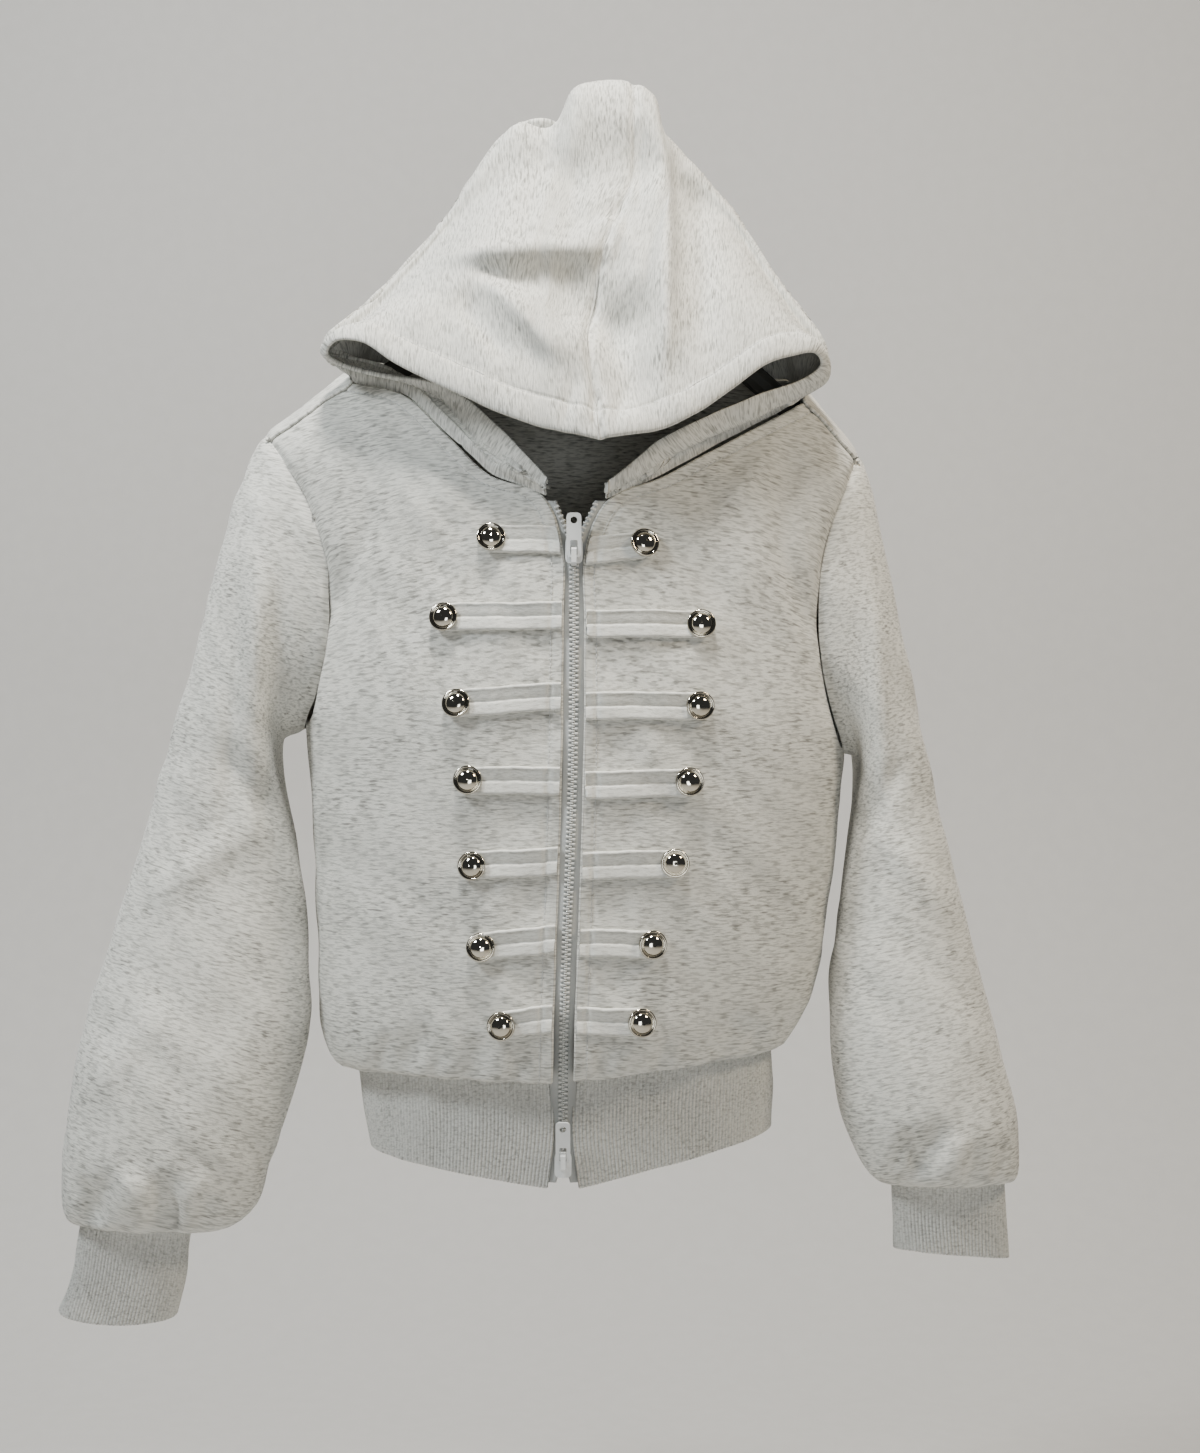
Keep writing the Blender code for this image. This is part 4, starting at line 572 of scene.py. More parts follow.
@dataclass
class Surface:
    """A grid of points on a cloth's outer face: rows, columns, xyz in millimetres."""

    points: Array
    closed: bool = False
    flip: bool = False
    normals: Array = field(init=False)

    def __post_init__(self) -> None:
        """Measure the first normals."""
        self.points = np.array(self.points, float)
        self.measure()

    def measure(self) -> None:
        """Set each normal to the cross product of the runs along rows and columns."""
        grid = self.points
        if self.closed:
            around = np.roll(grid, -1, axis=1) - np.roll(grid, 1, axis=1)
        else:
            around = np.gradient(grid, axis=1)
        normals = unit(np.cross(around, np.gradient(grid, axis=0)))
        self.normals = -normals if self.flip else normals

    def lengths(self) -> tuple[Array, Array]:
        """Measure the grid's longest column and longest row.

        Returns:
            Distances along the rows' direction and along the columns' direction.
        """
        grid = self.points
        if self.closed:
            grid = np.concatenate([grid, grid[:, :1]], axis=1)
        down, across = run_of(grid), run_of(grid, 1)
        return down[:, down[-1].argmax()], across[across[:, -1].argmax()]

    def places(self, grain: Grain) -> tuple[Array, Array]:
        """Lay the cloth flat enough to draw its heather, in millimetres.

        LEVEL measures height by z, and by y as well where the cloth turns in over the
        shoulders, so that streaks stay level; ROUND measures rows both ways from the
        first column and height along the piece; DOWN lets the streaks run down it.

        Args:
            grain: How the streaks lie.

        Returns:
            The place along the streaks and across them, at every point.
        """
        grid = self.points
        if grain is Grain.DOWN:
            across = self.lengths()[1][:grid.shape[1]]
            return self.edge_distance("top"), np.broadcast_to(across, grid.shape[:2])
        if grain is Grain.LEVEL:
            turned = LEVEL_DEPTH * smooth_step(
                (grid[..., 2] - SHOULDER_TURN[0]) / SHOULDER_TURN[1])
            run = run_of(grid * (1.0, LEVEL_DEPTH, 0.0), 1)
            start = grid[:, :1, 0]
            return (run + start * np.sign(grid[:1, -1:, 0] - start[:1]),
                    grid[..., 2] - turned * np.abs(grid[..., 1]))
        row = self.edge_distance("first")
        rise = grid @ unit(grid[-1].mean(0) - grid[0].mean(0))
        if not self.closed:
            return row, rise
        whole = self.around()
        return row - np.where(row > whole / 2.0, whole, 0.0), rise

    def around(self) -> Array:
        """Measure every closed row's whole length, as one column."""
        return run_of(np.concatenate([self.points, self.points[:, :1]], axis=1), 1)[:, -1:]

    def smoothed(self, rounds: int, height: float, reach: float) -> None:
        """Even out the run of the columns round one height, away from the edges.

        Args:
            rounds: How often each point moves halfway to the middle of its neighbours.
            height: The z where it is strongest.
            reach: How far above and below it falls off.
        """
        edges = ("bottom", "top") if self.closed else ("bottom", "top", "first", "last")
        inside = np.minimum.reduce([self.edge_distance(edge) for edge in edges])
        share = 0.5 * smooth_step((inside - EDGE_KEPT[0]) / EDGE_KEPT[1])
        share = share * np.exp(-((self.points[..., 2] - height) / reach) ** 2)
        for _ in range(rounds):
            middle = (self.points[:-2] + self.points[2:]) / 2.0
            self.points[1:-1] += share[1:-1, :, None] * (middle - self.points[1:-1])
        self.measure()

    def refined(self, step: float, fine: Sequence[float]) -> "Surface":
        """Draw the same surface with more rows and columns.

        Args:
            step: The usual distance between points.
            fine: How far close points reach from the bottom, top, first and last edge.

        Returns:
            The refined surface.
        """
        rows, places = (
            np.interp(spots(run[-1], step, reach), run / run[-1], steps_of(len(run)))
            for run, reach in zip(self.lengths(), (fine[:2], fine[2:])))
        grid = through(self.points, rows).transpose(1, 0, 2)
        if self.closed:
            ring = np.concatenate([grid[-2:], grid, grid[:3]])
            grid = through(ring, places[:-1] + 2.0)
        else:
            grid = through(grid, places)
        return Surface(grid.transpose(1, 0, 2), self.closed, self.flip)

    def bend(self, folds: Table, looks: float) -> None:
        """Raise folds on the faces that look forward (-1) or back (+1).

        A fold's height falls off as exp(-(distance across it / half width)^2) and eases
        out past its run.

        Args:
            folds: Rows of x, z, run x, run z, half width and rise.
            looks: The y direction that the folded faces look in.
        """
        facing = smooth_step(self.normals[..., 1] * looks * FOLD_FACING)
        for x, z, run_x, run_z, half_width, rise in folds.values():
            reach = math.hypot(run_x, run_z)
            off_x, off_z = self.points[..., 0] - x, self.points[..., 2] - z
            along = (off_x * run_x + off_z * run_z) / reach / reach
            across = (off_z * run_x - off_x * run_z) / reach / half_width
            height = rise * np.exp(-across ** 2) * smooth_step(FOLD_END - np.abs(along))
            self.points += self.normals * (height * facing)[..., None]

    def ripple(self, waves: Iterable[Row]) -> None:
        """Add the cloth's own unevenness, a sum of slow sine waves through space.

        Args:
            waves: Rows of wavelengths along x, y and z, phase, and height.
        """
        height = np.zeros(self.points.shape[:2])
        sway, pitch, shift = WAVE_BEND
        for *lengths, phase, rise in waves:
            turn = self.points @ (2.0 * math.pi / np.array(lengths))
            bend = sway * np.sin(turn * pitch + phase * shift)
            height += rise * np.sin(turn + phase + bend)
        self.points += self.normals * height[..., None]

    def edge_distance(self, edge: str) -> Array:
        """Measure how far each point lies from one edge, along its row or column.

        Args:
            edge: bottom, top, first or last.

        Returns:
            Distances in millimetres.
        """
        axis = 0 if edge in ("bottom", "top") else 1
        along = run_of(self.points, axis)
        if edge in ("top", "last"):
            along = np.take(along, [-1], axis=axis) - along
        return along

    def press(self, edges: Iterable[str], depth: float, width: float,
              inset: float = 0.0) -> None:
        """Sink a groove beside edges, as a seam or a row of stitches draws the cloth in.

        Args:
            edges: Names of the edges.
            depth: How deep the groove is.
            width: Its half width.
            inset: How far from the edge its middle lies.
        """
        for edge in edges:
            away = (self.edge_distance(edge) - inset) / width
            self.points -= self.normals * (depth * np.exp(-away ** 2))[..., None]

    def at(self, row: Array, column: Array) -> tuple[Array, Array]:
        """Read points and normals between the grid's own, bilinearly.

        Args:
            row: Row places.
            column: Column places of the same shape.

        Returns:
            Points and unit normals.
        """
        rows, columns = self.points.shape[:2]
        row = np.clip(row, 0.0, rows - 1.001)
        column = np.clip(column, 0.0, columns - 1.001)
        r, c = row.astype(int), column.astype(int)
        p, q = (row - r)[..., None], (column - c)[..., None]
        both = []
        for grid in (self.points, self.normals):
            low = grid[r, c] * (1 - q) + grid[r, c + 1] * q
            high = grid[r + 1, c] * (1 - q) + grid[r + 1, c + 1] * q
            both.append(low * (1 - p) + high * p)
        return both[0], unit(both[1])

    def find(self, x: Array, z: Array) -> tuple[Array, Array]:
        """Find the grid places that lie over x and z as seen from the front.

        It starts from the nearest of a thinned grid and takes Newton steps with the
        surface's local slopes.

        Args:
            x: Wanted x.
            z: Wanted z.

        Returns:
            Row and column places.
        """
        thin = self.points[::FIND_THIN, ::FIND_THIN]
        flat = thin.reshape(-1, 3)
        gap = (flat[:, 0] - x.reshape(-1, 1)) ** 2 + (flat[:, 2] - z.reshape(-1, 1)) ** 2
        row, column = (place.reshape(x.shape) * float(FIND_THIN)
                       for place in np.divmod(gap.argmin(axis=1), thin.shape[1]))
        for _ in range(FIND_ROUNDS):
            here = self.at(row, column)[0]
            down = self.at(row + 0.5, column)[0] - self.at(row - 0.5, column)[0]
            side = self.at(row, column + 0.5)[0] - self.at(row, column - 0.5)[0]
            off_x, off_z = x - here[..., 0], z - here[..., 2]
            area = down[..., 0] * side[..., 2] - down[..., 2] * side[..., 0]
            area = np.where(np.abs(area) < 1e-3, 1e-3, area)
            step_down = (off_x * side[..., 2] - off_z * side[..., 0]) / area
            step_side = (off_z * down[..., 0] - off_x * down[..., 2]) / area
            row = row + np.clip(step_down, -FIND_STEP, FIND_STEP)
            column = column + np.clip(step_side, -FIND_STEP, FIND_STEP)
        return row, column


def share_normals(surfaces: Iterable[Surface]) -> None:
    """Give points that lie in several surfaces the mean of their normals.

    Args:
        surfaces: Surfaces whose shared edges have the same points.
    """
    surfaces = list(surfaces)
    points = np.concatenate([one.points.reshape(-1, 3) for one in surfaces])
    normals = np.concatenate([one.normals.reshape(-1, 3) for one in surfaces])
    keys = np.round(points * POINT_MATCH).astype(np.int64)
    _, index = np.unique(keys, axis=0, return_inverse=True)
    index = index.reshape(-1)
    total = np.zeros((index.max() + 1, 3))
    np.add.at(total, index, normals)
    shared = unit(total)[index]
    start = 0
    for one in surfaces:
        count = one.points.shape[0] * one.points.shape[1]
        one.normals = shared[start:start + count].reshape(one.points.shape)
        start += count


# ---- meshes --------------------------------------------------------------------------


def grid_quads(rows: int, columns: int, closed: bool, first: int = 0) -> Array:
    """List the quads of a grid stored row by row.

    Args:
        rows: Number of rows.
        columns: Number of columns.
        closed: Whether the last column joins the first.
        first: Index of the grid's first point.

    Returns:
        Quads of point indices.
    """
    index = np.arange(rows * columns).reshape(rows, columns) + first
    if closed:
        index = np.concatenate([index, index[:, :1]], axis=1)
    low, high = index[:-1], index[1:]
    return np.stack([low[:, :-1], low[:, 1:], high[:, 1:], high[:, :-1]], -1).reshape(-1, 4)


def link(name: str, data: bpy.types.ID) -> bpy.types.Object:
    """Put a mesh, a light or a camera into the scene.

    Args:
        name: The object's name.
        data: What it shows.

    Returns:
        The object.
    """
    obj = bpy.data.objects.new(name, data)
    bpy.context.scene.collection.objects.link(obj)
    return obj


def add_uv(mesh: bpy.types.Mesh, corners: Array) -> None:
    """Give a mesh its texture places, in metres, one for each face corner."""
    layer = mesh.uv_layers.new(name="UVMap")
    layer.data.foreach_set("uv", corners.astype(np.float32).ravel())


def make_mesh(name: str, points: Array, quads: Array,
              corner_uv: Array | None = None) -> bpy.types.Object:
    """Build an object at the origin from arrays.

    Args:
        name: The object's name.
        points: Points in millimetres.
        quads: Faces of four points each.
        corner_uv: Texture places in metres, one for each face corner.

    Returns:
        The linked object.
    """
    mesh = bpy.data.meshes.new(name)
    mesh.vertices.add(len(points))
    mesh.vertices.foreach_set("co", (np.asarray(points) * MM).astype(np.float32).ravel())
    mesh.loops.add(quads.size)
    mesh.loops.foreach_set("vertex_index", quads.astype(np.int32).ravel())
    mesh.polygons.add(len(quads))
    mesh.polygons.foreach_set("loop_start", np.arange(0, quads.size, 4, dtype=np.int32))
    mesh.polygons.foreach_set("use_smooth", np.ones(len(quads), bool))
    if corner_uv is not None:
        add_uv(mesh, corner_uv)
    mesh.update(calc_edges=True)
    mesh.validate()
    return link(name, mesh)


RIM_TURNS = np.radians((30.0, 90.0, 150.0))


def rim(edge: Array, inside: Array, out: Array) -> Array:
    """Round a wall's rim with a half circle of its thickness.

    At angle t its points stand out by sin t * wall / 2 and lie (1 - cos t) / 2 of the
    wall in.

    Args:
        edge: The outer face's edge.
        inside: The inner face's edge.
        out: The directions away from the cloth.

    Returns:
        One line of points for each of RIM_TURNS.
    """
    middle, half = (edge + inside) / 2.0, (edge - inside) / 2.0
    size = np.linalg.norm(half, axis=-1, keepdims=True)
    return np.stack([middle + half * math.cos(t) + out * size * math.sin(t)
                     for t in RIM_TURNS])


def outward(edge: Array, next_in: Array, normal: Array) -> Array:
    """Find the directions in the cloth that lead away past an edge.

    Args:
        edge: The edge's points.
        next_in: Their neighbours inside it.
        normal: Their normals.

    Returns:
        Unit directions.
    """
    away = edge - next_in
    return unit(away - normal * np.sum(away * normal, -1, keepdims=True))


def evened(inner: Array, count: int, closed: bool) -> Array:
    """Even out the rows of an inner face.

    Args:
        inner: The face's points.
        count: Over how many points of its row each point is evened.
        closed: Whether rows are rings.

    Returns:
        The evened points.
    """
    ends = (inner[:, -count:], inner[:, :count]) if closed else (
        np.repeat(inner[:, :1], count, 1), np.repeat(inner[:, -1:], count, 1))
    padded = np.concatenate([ends[0], inner, ends[1]], 1)
    spread = np.ones(count) / count
    return np.apply_along_axis(
        lambda line: np.convolve(line, spread, "same"), 1, padded)[:, count:-count]


def corners_of(grid: Array) -> Array:
    """List the four corner values of each cell of a grid, in the quads' order."""
    return np.stack([grid[:-1, :-1], grid[:-1, 1:], grid[1:, 1:], grid[1:, :-1]], 2)


def wall_object(name: str, face: Surface, wall: Array | float, grain: Grain,
                lining: int) -> bpy.types.Object:
    """Close a surface into a thin wall with rounded rims.

    Args:
        name: The object's name.
        face: The outer face.
        wall: The wall's thickness.
        grain: How the heather's streaks lie.
        lining: Over how many points the inner face is evened, or 1.

    Returns:
        The wall object.
    """
    points, normals = face.points, face.normals
    inner = points - normals * (np.zeros(points.shape[:2]) + wall)[..., None]
    if lining > 1:
        inner = evened(inner, lining, face.closed)
    rows, columns = points.shape[:2]
    rims = len(RIM_TURNS)

    def round_wall(outside: Array) -> Array:
        return np.concatenate([outside, np.repeat(outside[-1:], rims, 0), outside[::-1],
                               np.repeat(outside[:1], rims, 0)])

    low = rim(points[0], inner[0], outward(points[0], points[1], normals[0]))[::-1]
    high = rim(points[-1], inner[-1], outward(points[-1], points[-2], normals[-1]))
    flat = np.concatenate([points, high, inner[::-1], low])
    total = len(flat)
    flat = flat.reshape(-1, 3)
    quads = grid_quads(total + 1, columns, face.closed) % (total * columns)
    places = np.stack(face.places(grain), -1) * MM
    uv = round_wall(places)
    uv = np.concatenate([uv, uv[:1]])
    if face.closed:
        corner = corners_of(np.concatenate([uv, uv[:, :1]], axis=1))
        whole = round_wall(face.around() * MM)[:, :, None, None]
        behind = corner[:, :, 1:3, :1] < corner[:, :, :1, :1] - whole / 2.0
        corner[:, :, 1:3, :1] += behind * whole
    else:
        corner = corners_of(uv)
    corner = corner.reshape(-1, 4, 2)
    if not face.closed:
        index = np.arange(rows)
        for column, beside in ((0, 1), (columns - 1, columns - 2)):
            out = outward(points[:, column], points[:, beside], normals[:, column])
            first = len(flat)
            arc = rim(points[:, column], inner[:, column], out)
            flat = np.concatenate([flat, arc.reshape(-1, 3)])
            outer_ids = index * columns + column
            inner_ids = (rows + rims + (rows - 1 - index)) * columns + column
            lines = [outer_ids, *(first + k * rows + index for k in range(rims)), inner_ids]
            order = slice(None) if column == 0 else slice(None, None, -1)
            edge = places[:, column]
            edge_uv = np.stack([edge[:-1], edge[:-1], edge[1:], edge[1:]], 1)[:, order]
            for one, two in zip(lines[:-1], lines[1:]):
                side = np.stack([one[:-1], two[:-1], two[1:], one[1:]], -1)[:, order]
                quads = np.concatenate([quads, side])
                corner = np.concatenate([corner, edge_uv])
    if face.flip:
        quads, corner = quads[:, ::-1], corner[:, ::-1]
    return make_mesh(name, flat, quads, corner.reshape(-1, 2))


# ---- the garment's sections ----------------------------------------------------------


def section_arc(inner: Array, outer: Array, turn_deg: float, count: int) -> Array:
    """Draw a section from its inner end round to its outer end.

    With a = turn * u the run is sin a / sin turn, and the depth falls as
    ((cos a - cos turn) / (1 - cos turn)) ^ SECTION_SQUARE.

    Args:
        inner: The end at the zip or the back's middle.
        outer: The end at the side seam or armhole.
        turn_deg: How far the section turns.
        count: Number of steps.

    Returns:
        count + 1 points.
    """
    turn = math.radians(turn_deg)
    angle = np.linspace(0.0, turn, count + 1)
    run = np.sin(angle) / math.sin(turn)
    depth = ((np.cos(angle) - math.cos(turn)) / (1.0 - math.cos(turn))) ** SECTION_SQUARE
    points = inner + (outer - inner) * run[:, None]
    points[:, 1] = outer[1] + (inner[1] - outer[1]) * depth
    return points


def sleeve_ring(row: Row, angles_deg: Array) -> Array:
    """Draw a ring of a sleeve: 0 is its outer point, 90 its front, 180 its inner point.

    Args:
        row: Outer x and z, inner x and z, middle y, depth and bow.
        angles_deg: Angles round the ring.

    Returns:
        The ring's points.
    """
    outer_x, outer_z, inner_x, inner_z, mid_y, depth, bow = row
    outer = np.array((outer_x, mid_y, outer_z))
    inner = np.array((inner_x, mid_y, inner_z))
    half = (outer - inner) / 2.0
    angle = np.radians(np.asarray(angles_deg, float))[:, None]
    across = np.array((-half[2], 0.0, half[0]))
    inward = unit(across * -math.copysign(1.0, across[0] * outer_x))
    reach = np.sign(np.sin(angle)) * np.abs(np.sin(angle)) ** SECTION_SQUARE
    return ((outer + inner) / 2.0 + half * np.cos(angle)
            + np.array((0.0, -depth, 0.0)) * reach + inward * bow * np.sin(angle) ** 2)


def armhole_angles(stop_deg: float) -> Array:
    """List the angles of the rows round an armhole, from under the arm on.

    Args:
        stop_deg: The last angle.

    Returns:
        The angles.
    """
    return np.arange(180 - ARMHOLE_STEP, stop_deg - 1, -ARMHOLE_STEP)


def front_grid(body: Table, yoke: Table, sleeve: Table) -> Array:
    """Draw a half front, from the rib seam up to the shoulder seam.

    Args:
        body: Sections below the underarm.
        yoke: Sections beside the armhole.
        sleeve: The sleeve whose first ring is the armhole.

    Returns:
        The grid, zip edge first.
    """
    head = rows_of(sleeve)[0]
    sections = [
        section_arc(np.array(row[:3]), np.array((row[3], SIDE_SEAM_Y, row[4])), row[5],
                    FRONT_ACROSS)
        for row in even(rows_of(body), SIDE_ROWS)
    ]
    chest = rows_of(body)[-1]
    knots = np.vstack([[*chest[:3], 180.0, chest[TURN]], rows_of(yoke)])
    for angle in armhole_angles(ARMHOLE_STEP):
        at = np.interp(-angle, -knots[:, 3], steps_of(len(knots)))
        row = through(knots, [at])[0]
        sections.append(section_arc(row[:3], sleeve_ring(head, [angle])[0], row[4],
                                    FRONT_ACROSS))
    return np.array(sections)


def back_grid(left_front: Array, right_front: Array) -> Array:
    """Draw the back: arcs below the arms, then rows that round the shoulders.

    Args:
        left_front: The left front's grid.
        right_front: The right front's grid.

    Returns:
        The grid, left side first.
    """
    half = (2 * FRONT_ACROSS + NAPE_ACROSS) // 2
    chests = (LEFT_FRONT["chest"], RIGHT_FRONT["chest"])
    middle_x = (chests[0][OUTER_X] + chests[1][OUTER_X]) / 2.0
    sections = []
    for row, (middle_y, middle_z) in enumerate(even(rows_of(BACK), SIDE_ROWS)):
        middle = np.array((middle_x, middle_y, middle_z))
        left, right = (section_arc(middle, front[row, -1], chest[TURN], half)
                       for front, chest in zip((left_front, right_front), chests))
        sections.append(np.vstack([left[::-1], right[1:]]))
    chest = sections[-1]
    heads = [rows_of(sleeve)[0] for sleeve in (LEFT_SLEEVE, RIGHT_SLEEVE)]
    necks = [front[-1, 0] for front in (left_front, right_front)]
    nape = np.vstack([[-180.0] + [0.0] * 8, rows_of(NAPE)])
    for angle in np.arange(-180 + ARMHOLE_STEP, ARMHOLE_STEP + 1, ARMHOLE_STEP):
        at = np.interp(angle, nape[:, 0], steps_of(len(nape)))
        _, in_x, y, up_z, side_in_x, side_y, side_up_z, middle_y, middle_z = through(
            nape[1:], [max(at - 1.0, 0.0)])[0]
        middle = np.array((middle_x, middle_y, middle_z))
        sides = []
        for head, neck, sign in zip(heads, necks, (1.0, -1.0)):
            arm = sleeve_ring(head, [angle])[0]
            shoulder = neck + (sign * in_x, y - neck[1], up_z)
            beside = neck + (sign * side_in_x, side_y - neck[1], side_up_z)
            quarter = beside + (middle - beside) * np.array(NAPE_QUARTER)
            yoke = even([arm, shoulder], FRONT_ACROSS)
            around = even([shoulder, beside, quarter, middle], NAPE_ACROSS // 2)
            sides.append((yoke, around))
        (left_yoke, left_neck), (right_yoke, right_neck) = sides
        row = np.vstack([left_yoke, left_neck[1:],
                         right_neck[::-1][1:], right_yoke[::-1][1:]])
        if at < 1.0:
            row = chest + (row - chest) * at
            row[0] = sleeve_ring(heads[0], [angle])[0]
            row[-1] = sleeve_ring(heads[1], [angle])[0]
        sections.append(row)
    sections[-1][:FRONT_ACROSS + 1] = left_front[-1][::-1]
    sections[-1][-FRONT_ACROSS - 1:] = right_front[-1]
    return np.array(sections)


def sleeve_grid(sleeve: Table) -> Array:
    """Draw a sleeve's rings from the armhole to the cuff seam.

    Args:
        sleeve: The sleeve's rings.

    Returns:
        The closed grid.
    """
    angles = np.arange(0, 360, ARMHOLE_STEP)
    return np.array([sleeve_ring(row, angles)
                     for row in even(rows_of(sleeve), SLEEVE_ROWS)])


def hood_strip(neck: Array, ridge: Array, edge: Array, loft: float, swing: float) -> Array:
    """Draw a strip of the hood from the neck seam over the ridge to the face's edge.

    Near the hook the ridge swells into the pouch: with u the distance from the pouch's
    middle over half its width, the share of the pouch is (1 - u^4)^(1/4).

    Args:
        neck: The strip's foot.
        ridge: Its highest point.
        edge: Its end at the face.
        loft: How far the front layer swells.
        swing: How far its middle lies to the side.

    Returns:
        The strip's points.
    """
    off = abs(ridge[0] - POUCH_MIDDLE_X) / POUCH_HALF
    share = max(0.0, 1.0 - off ** 4) ** 0.25
    path = rows_of(POUCH)
    low = np.minimum(path[:, 1], 0.0)
    pouch_z = (path[:, 1] - low) + low * smooth_step(
        (share - POUCH_SINKS) / (1.0 - POUCH_SINKS))
    ends = [0, 1, -2, -1]
    pouch_z[ends] = path[ends, 1]
    size = smooth_step((ridge[2] + RIDGE_SHRINK) / RIDGE_SHRINK)
    size = size * (1.0 - RIDGE_SMALLEST) + RIDGE_SMALLEST
    plain = ridge[1:] + (1.0, -1.0) + path[:, 2:] * size
    pouch_z = pouch_z - POUCH_ROUND * min(off, 1.0) ** 3 * smooth_step(pouch_z / CROWN)
    tall = np.stack([path[:, 0], pouch_z], 1)
    steps = even(plain + (tall - plain) * share, HOOD_TOP_ROWS)
    top = np.column_stack([np.full(len(steps), ridge[0]), steps])
    back = even([neck, neck + (top[0] - neck) * 0.5 + (0.0, 3.0 * size, 0.0), top[0]],
                HOOD_BACK_ROWS)
    swell = np.array((swing, -loft, loft * 0.4))
    front = even([top[-1], top[-1] + (edge - top[-1]) * 0.5 + swell, edge], HOOD_FRONT_ROWS)
    return np.vstack([back[:-1], top, front[1:]])


def hood_grid(hood: Table, neck: Array) -> Array:
    """Draw a hood half: strips as columns, zip end first, rows from neck to face.

    Args:
        hood: The half's strips.
        neck: Its half of the neck seam.

    Returns:
        The grid.
    """
    knots = rows_of(hood)
    steps = (len(neck) - 1) * STRIPS_PER_NECK_STEP
    places = np.linspace(0.0, len(neck) - 1.0, steps + 1)
    total = HOOD_BACK_ROWS + HOOD_TOP_ROWS + HOOD_FRONT_ROWS
    strips = []
    for fraction, start in zip(np.linspace(0.0, 1.0, steps + 1), places):
        whole = min(int(start), len(neck) - 2)
        foot = neck[whole] + (neck[whole + 1] - neck[whole]) * (start - whole)
        foot = foot + (0.0, 0.0, SIZE.neck_lift)
        at = np.interp(fraction, knots[:, 0], steps_of(len(knots)))
        row = through(knots, [at])[0]
        ridge, edge = row[1:4], row[4:7]
        folded = hood_strip(foot, ridge, edge, *row[7:])
        rise = foot + (ridge - foot) * BAND_RISE + (0.0, 0.0, SIZE.band_stand)
        flat = even([foot, rise, ridge, edge], total)
        share = smooth_step((fraction - HOOD_LIFTS[0]) / HOOD_LIFTS[1])
        strips.append(flat + (folded - flat) * share)
    return np.array(strips).transpose(1, 0, 2)


def neck_line(front: Array, back_half: Array) -> Array:
    """Join half of the neck seam: up the front's neckline, then round the back's.

    Args:
        front: The front's grid.
        back_half: The back's top row from that neck point to its middle.

    Returns:
        The seam's points.
    """
    first = SIDE_ROWS + len(armhole_angles(ZIP_TOP_DEG))
    return np.vstack([front[first:, 0], back_half[1:]])


def resample(line: Array, count: int, closed: bool) -> Array:
    """Spread points evenly along a polyline.

    Args:
        line: The polyline.
        count: How many points.
        closed: Whether it is a ring.

    Returns:
        The points.
    """
    if closed:
        line = np.vstack([line, line[:1]])
    run = run_of(line)
    return read_line(line, run, np.linspace(0.0, run[-1], count, endpoint=not closed))


def inset(ring: Array, amount: float, drop: float, closed: bool) -> Array:
    """Draw a ring in, square to its run as seen from above, and lower it.

    Args:
        ring: The ring or open line.
        amount: How far in.
        drop: How far down.
        closed: Whether it is a ring.

    Returns:
        The new ring.
    """
    if closed:
        run = np.roll(ring, -1, axis=0) - np.roll(ring, 1, axis=0)
    else:
        run = np.gradient(ring, axis=0)
    inward = unit(np.stack([-run[:, 1], run[:, 0], np.zeros(len(ring))], 1))
    inward *= np.sign(np.sum(inward * (ring.mean(axis=0) - ring), axis=1))[:, None]
    return ring + inward * amount - (0.0, 0.0, drop)


def cuff_grid(cuff: Table, top: Array) -> list[Array]:
    """Draw a cuff's rings below its seam.

    Args:
        cuff: The cuff's ovals.
        top: The sleeve's end.

    Returns:
        The rings, top first.
    """
    ring = inset(top, RIB_INSET, RIB_DROP, True)
    half = len(ring) // 2
    if ring[0, 0] > ring[half, 0]:
        ring = np.roll(np.roll(ring, -half, axis=0)[::-1], 1, axis=0)
    rings = [ring]
    angle = np.linspace(0.0, 2.0 * math.pi, OVAL_POINTS, endpoint=False)
    for left_x, left_z, right_x, right_z, sag, mid_y, depth in rows_of(cuff):
        across = (1.0 - np.cos(angle)) / 2.0
        round_y = np.sign(np.sin(angle)) * np.abs(np.sin(angle)) ** SECTION_SQUARE
        rings.append(np.stack([
            left_x + (right_x - left_x) * across, mid_y - depth * round_y,
            left_z + (right_z - left_z) * across - sag * np.abs(np.sin(angle))], 1))
    return rings


def hem_grid(top: Array) -> list[Array]:
    """Draw the hem's open rings, from the left zip edge round the back to the right one.

    Args:
        top: The panels' ends in the same order.

    Returns:
        The rings, top first.
    """
    rings = [inset(top, RIB_INSET, RIB_DROP, False)]
    for left_x, left_z, right_x, right_z, front_z, front_y, back_y, *zip_x in rows_of(HEM):
        middle = np.array(((left_x + right_x) / 2.0, back_y,
                           (left_z + right_z) / 2.0 - HEM_SAG))
        halves = []
        for inner_x, side_x, side_z in zip(zip_x, (left_x, right_x), (left_z, right_z)):
            side = np.array((side_x, SIDE_SEAM_Y, side_z))
            front, back = (section_arc(start, side, HEM_TURN_DEG, HEM_POINTS)
                           for start in (np.array((inner_x, front_y, front_z)), middle))
            halves.append(np.vstack([front, back[::-1][1:]]))
        rings.append(np.vstack([halves[0], halves[1][::-1][1:]]))
    return rings


def zip_line(z: Array) -> tuple[Array, Array, Array]:
    """Read the zip's meeting line at some heights.

    Args:
        z: The heights.

    Returns:
        The line's x, each half's distance from it, and y.
    """
    rows = rows_of(ZIP_LINE)
    at = np.interp(z, rows[:, 0], steps_of(len(rows)))
    line = through(rows, np.atleast_1d(at))
    return line[:, 1], np.maximum(line[:, 2], 0.0), line[:, 3]


# ---- finer form of the cloth ---------------------------------------------------------

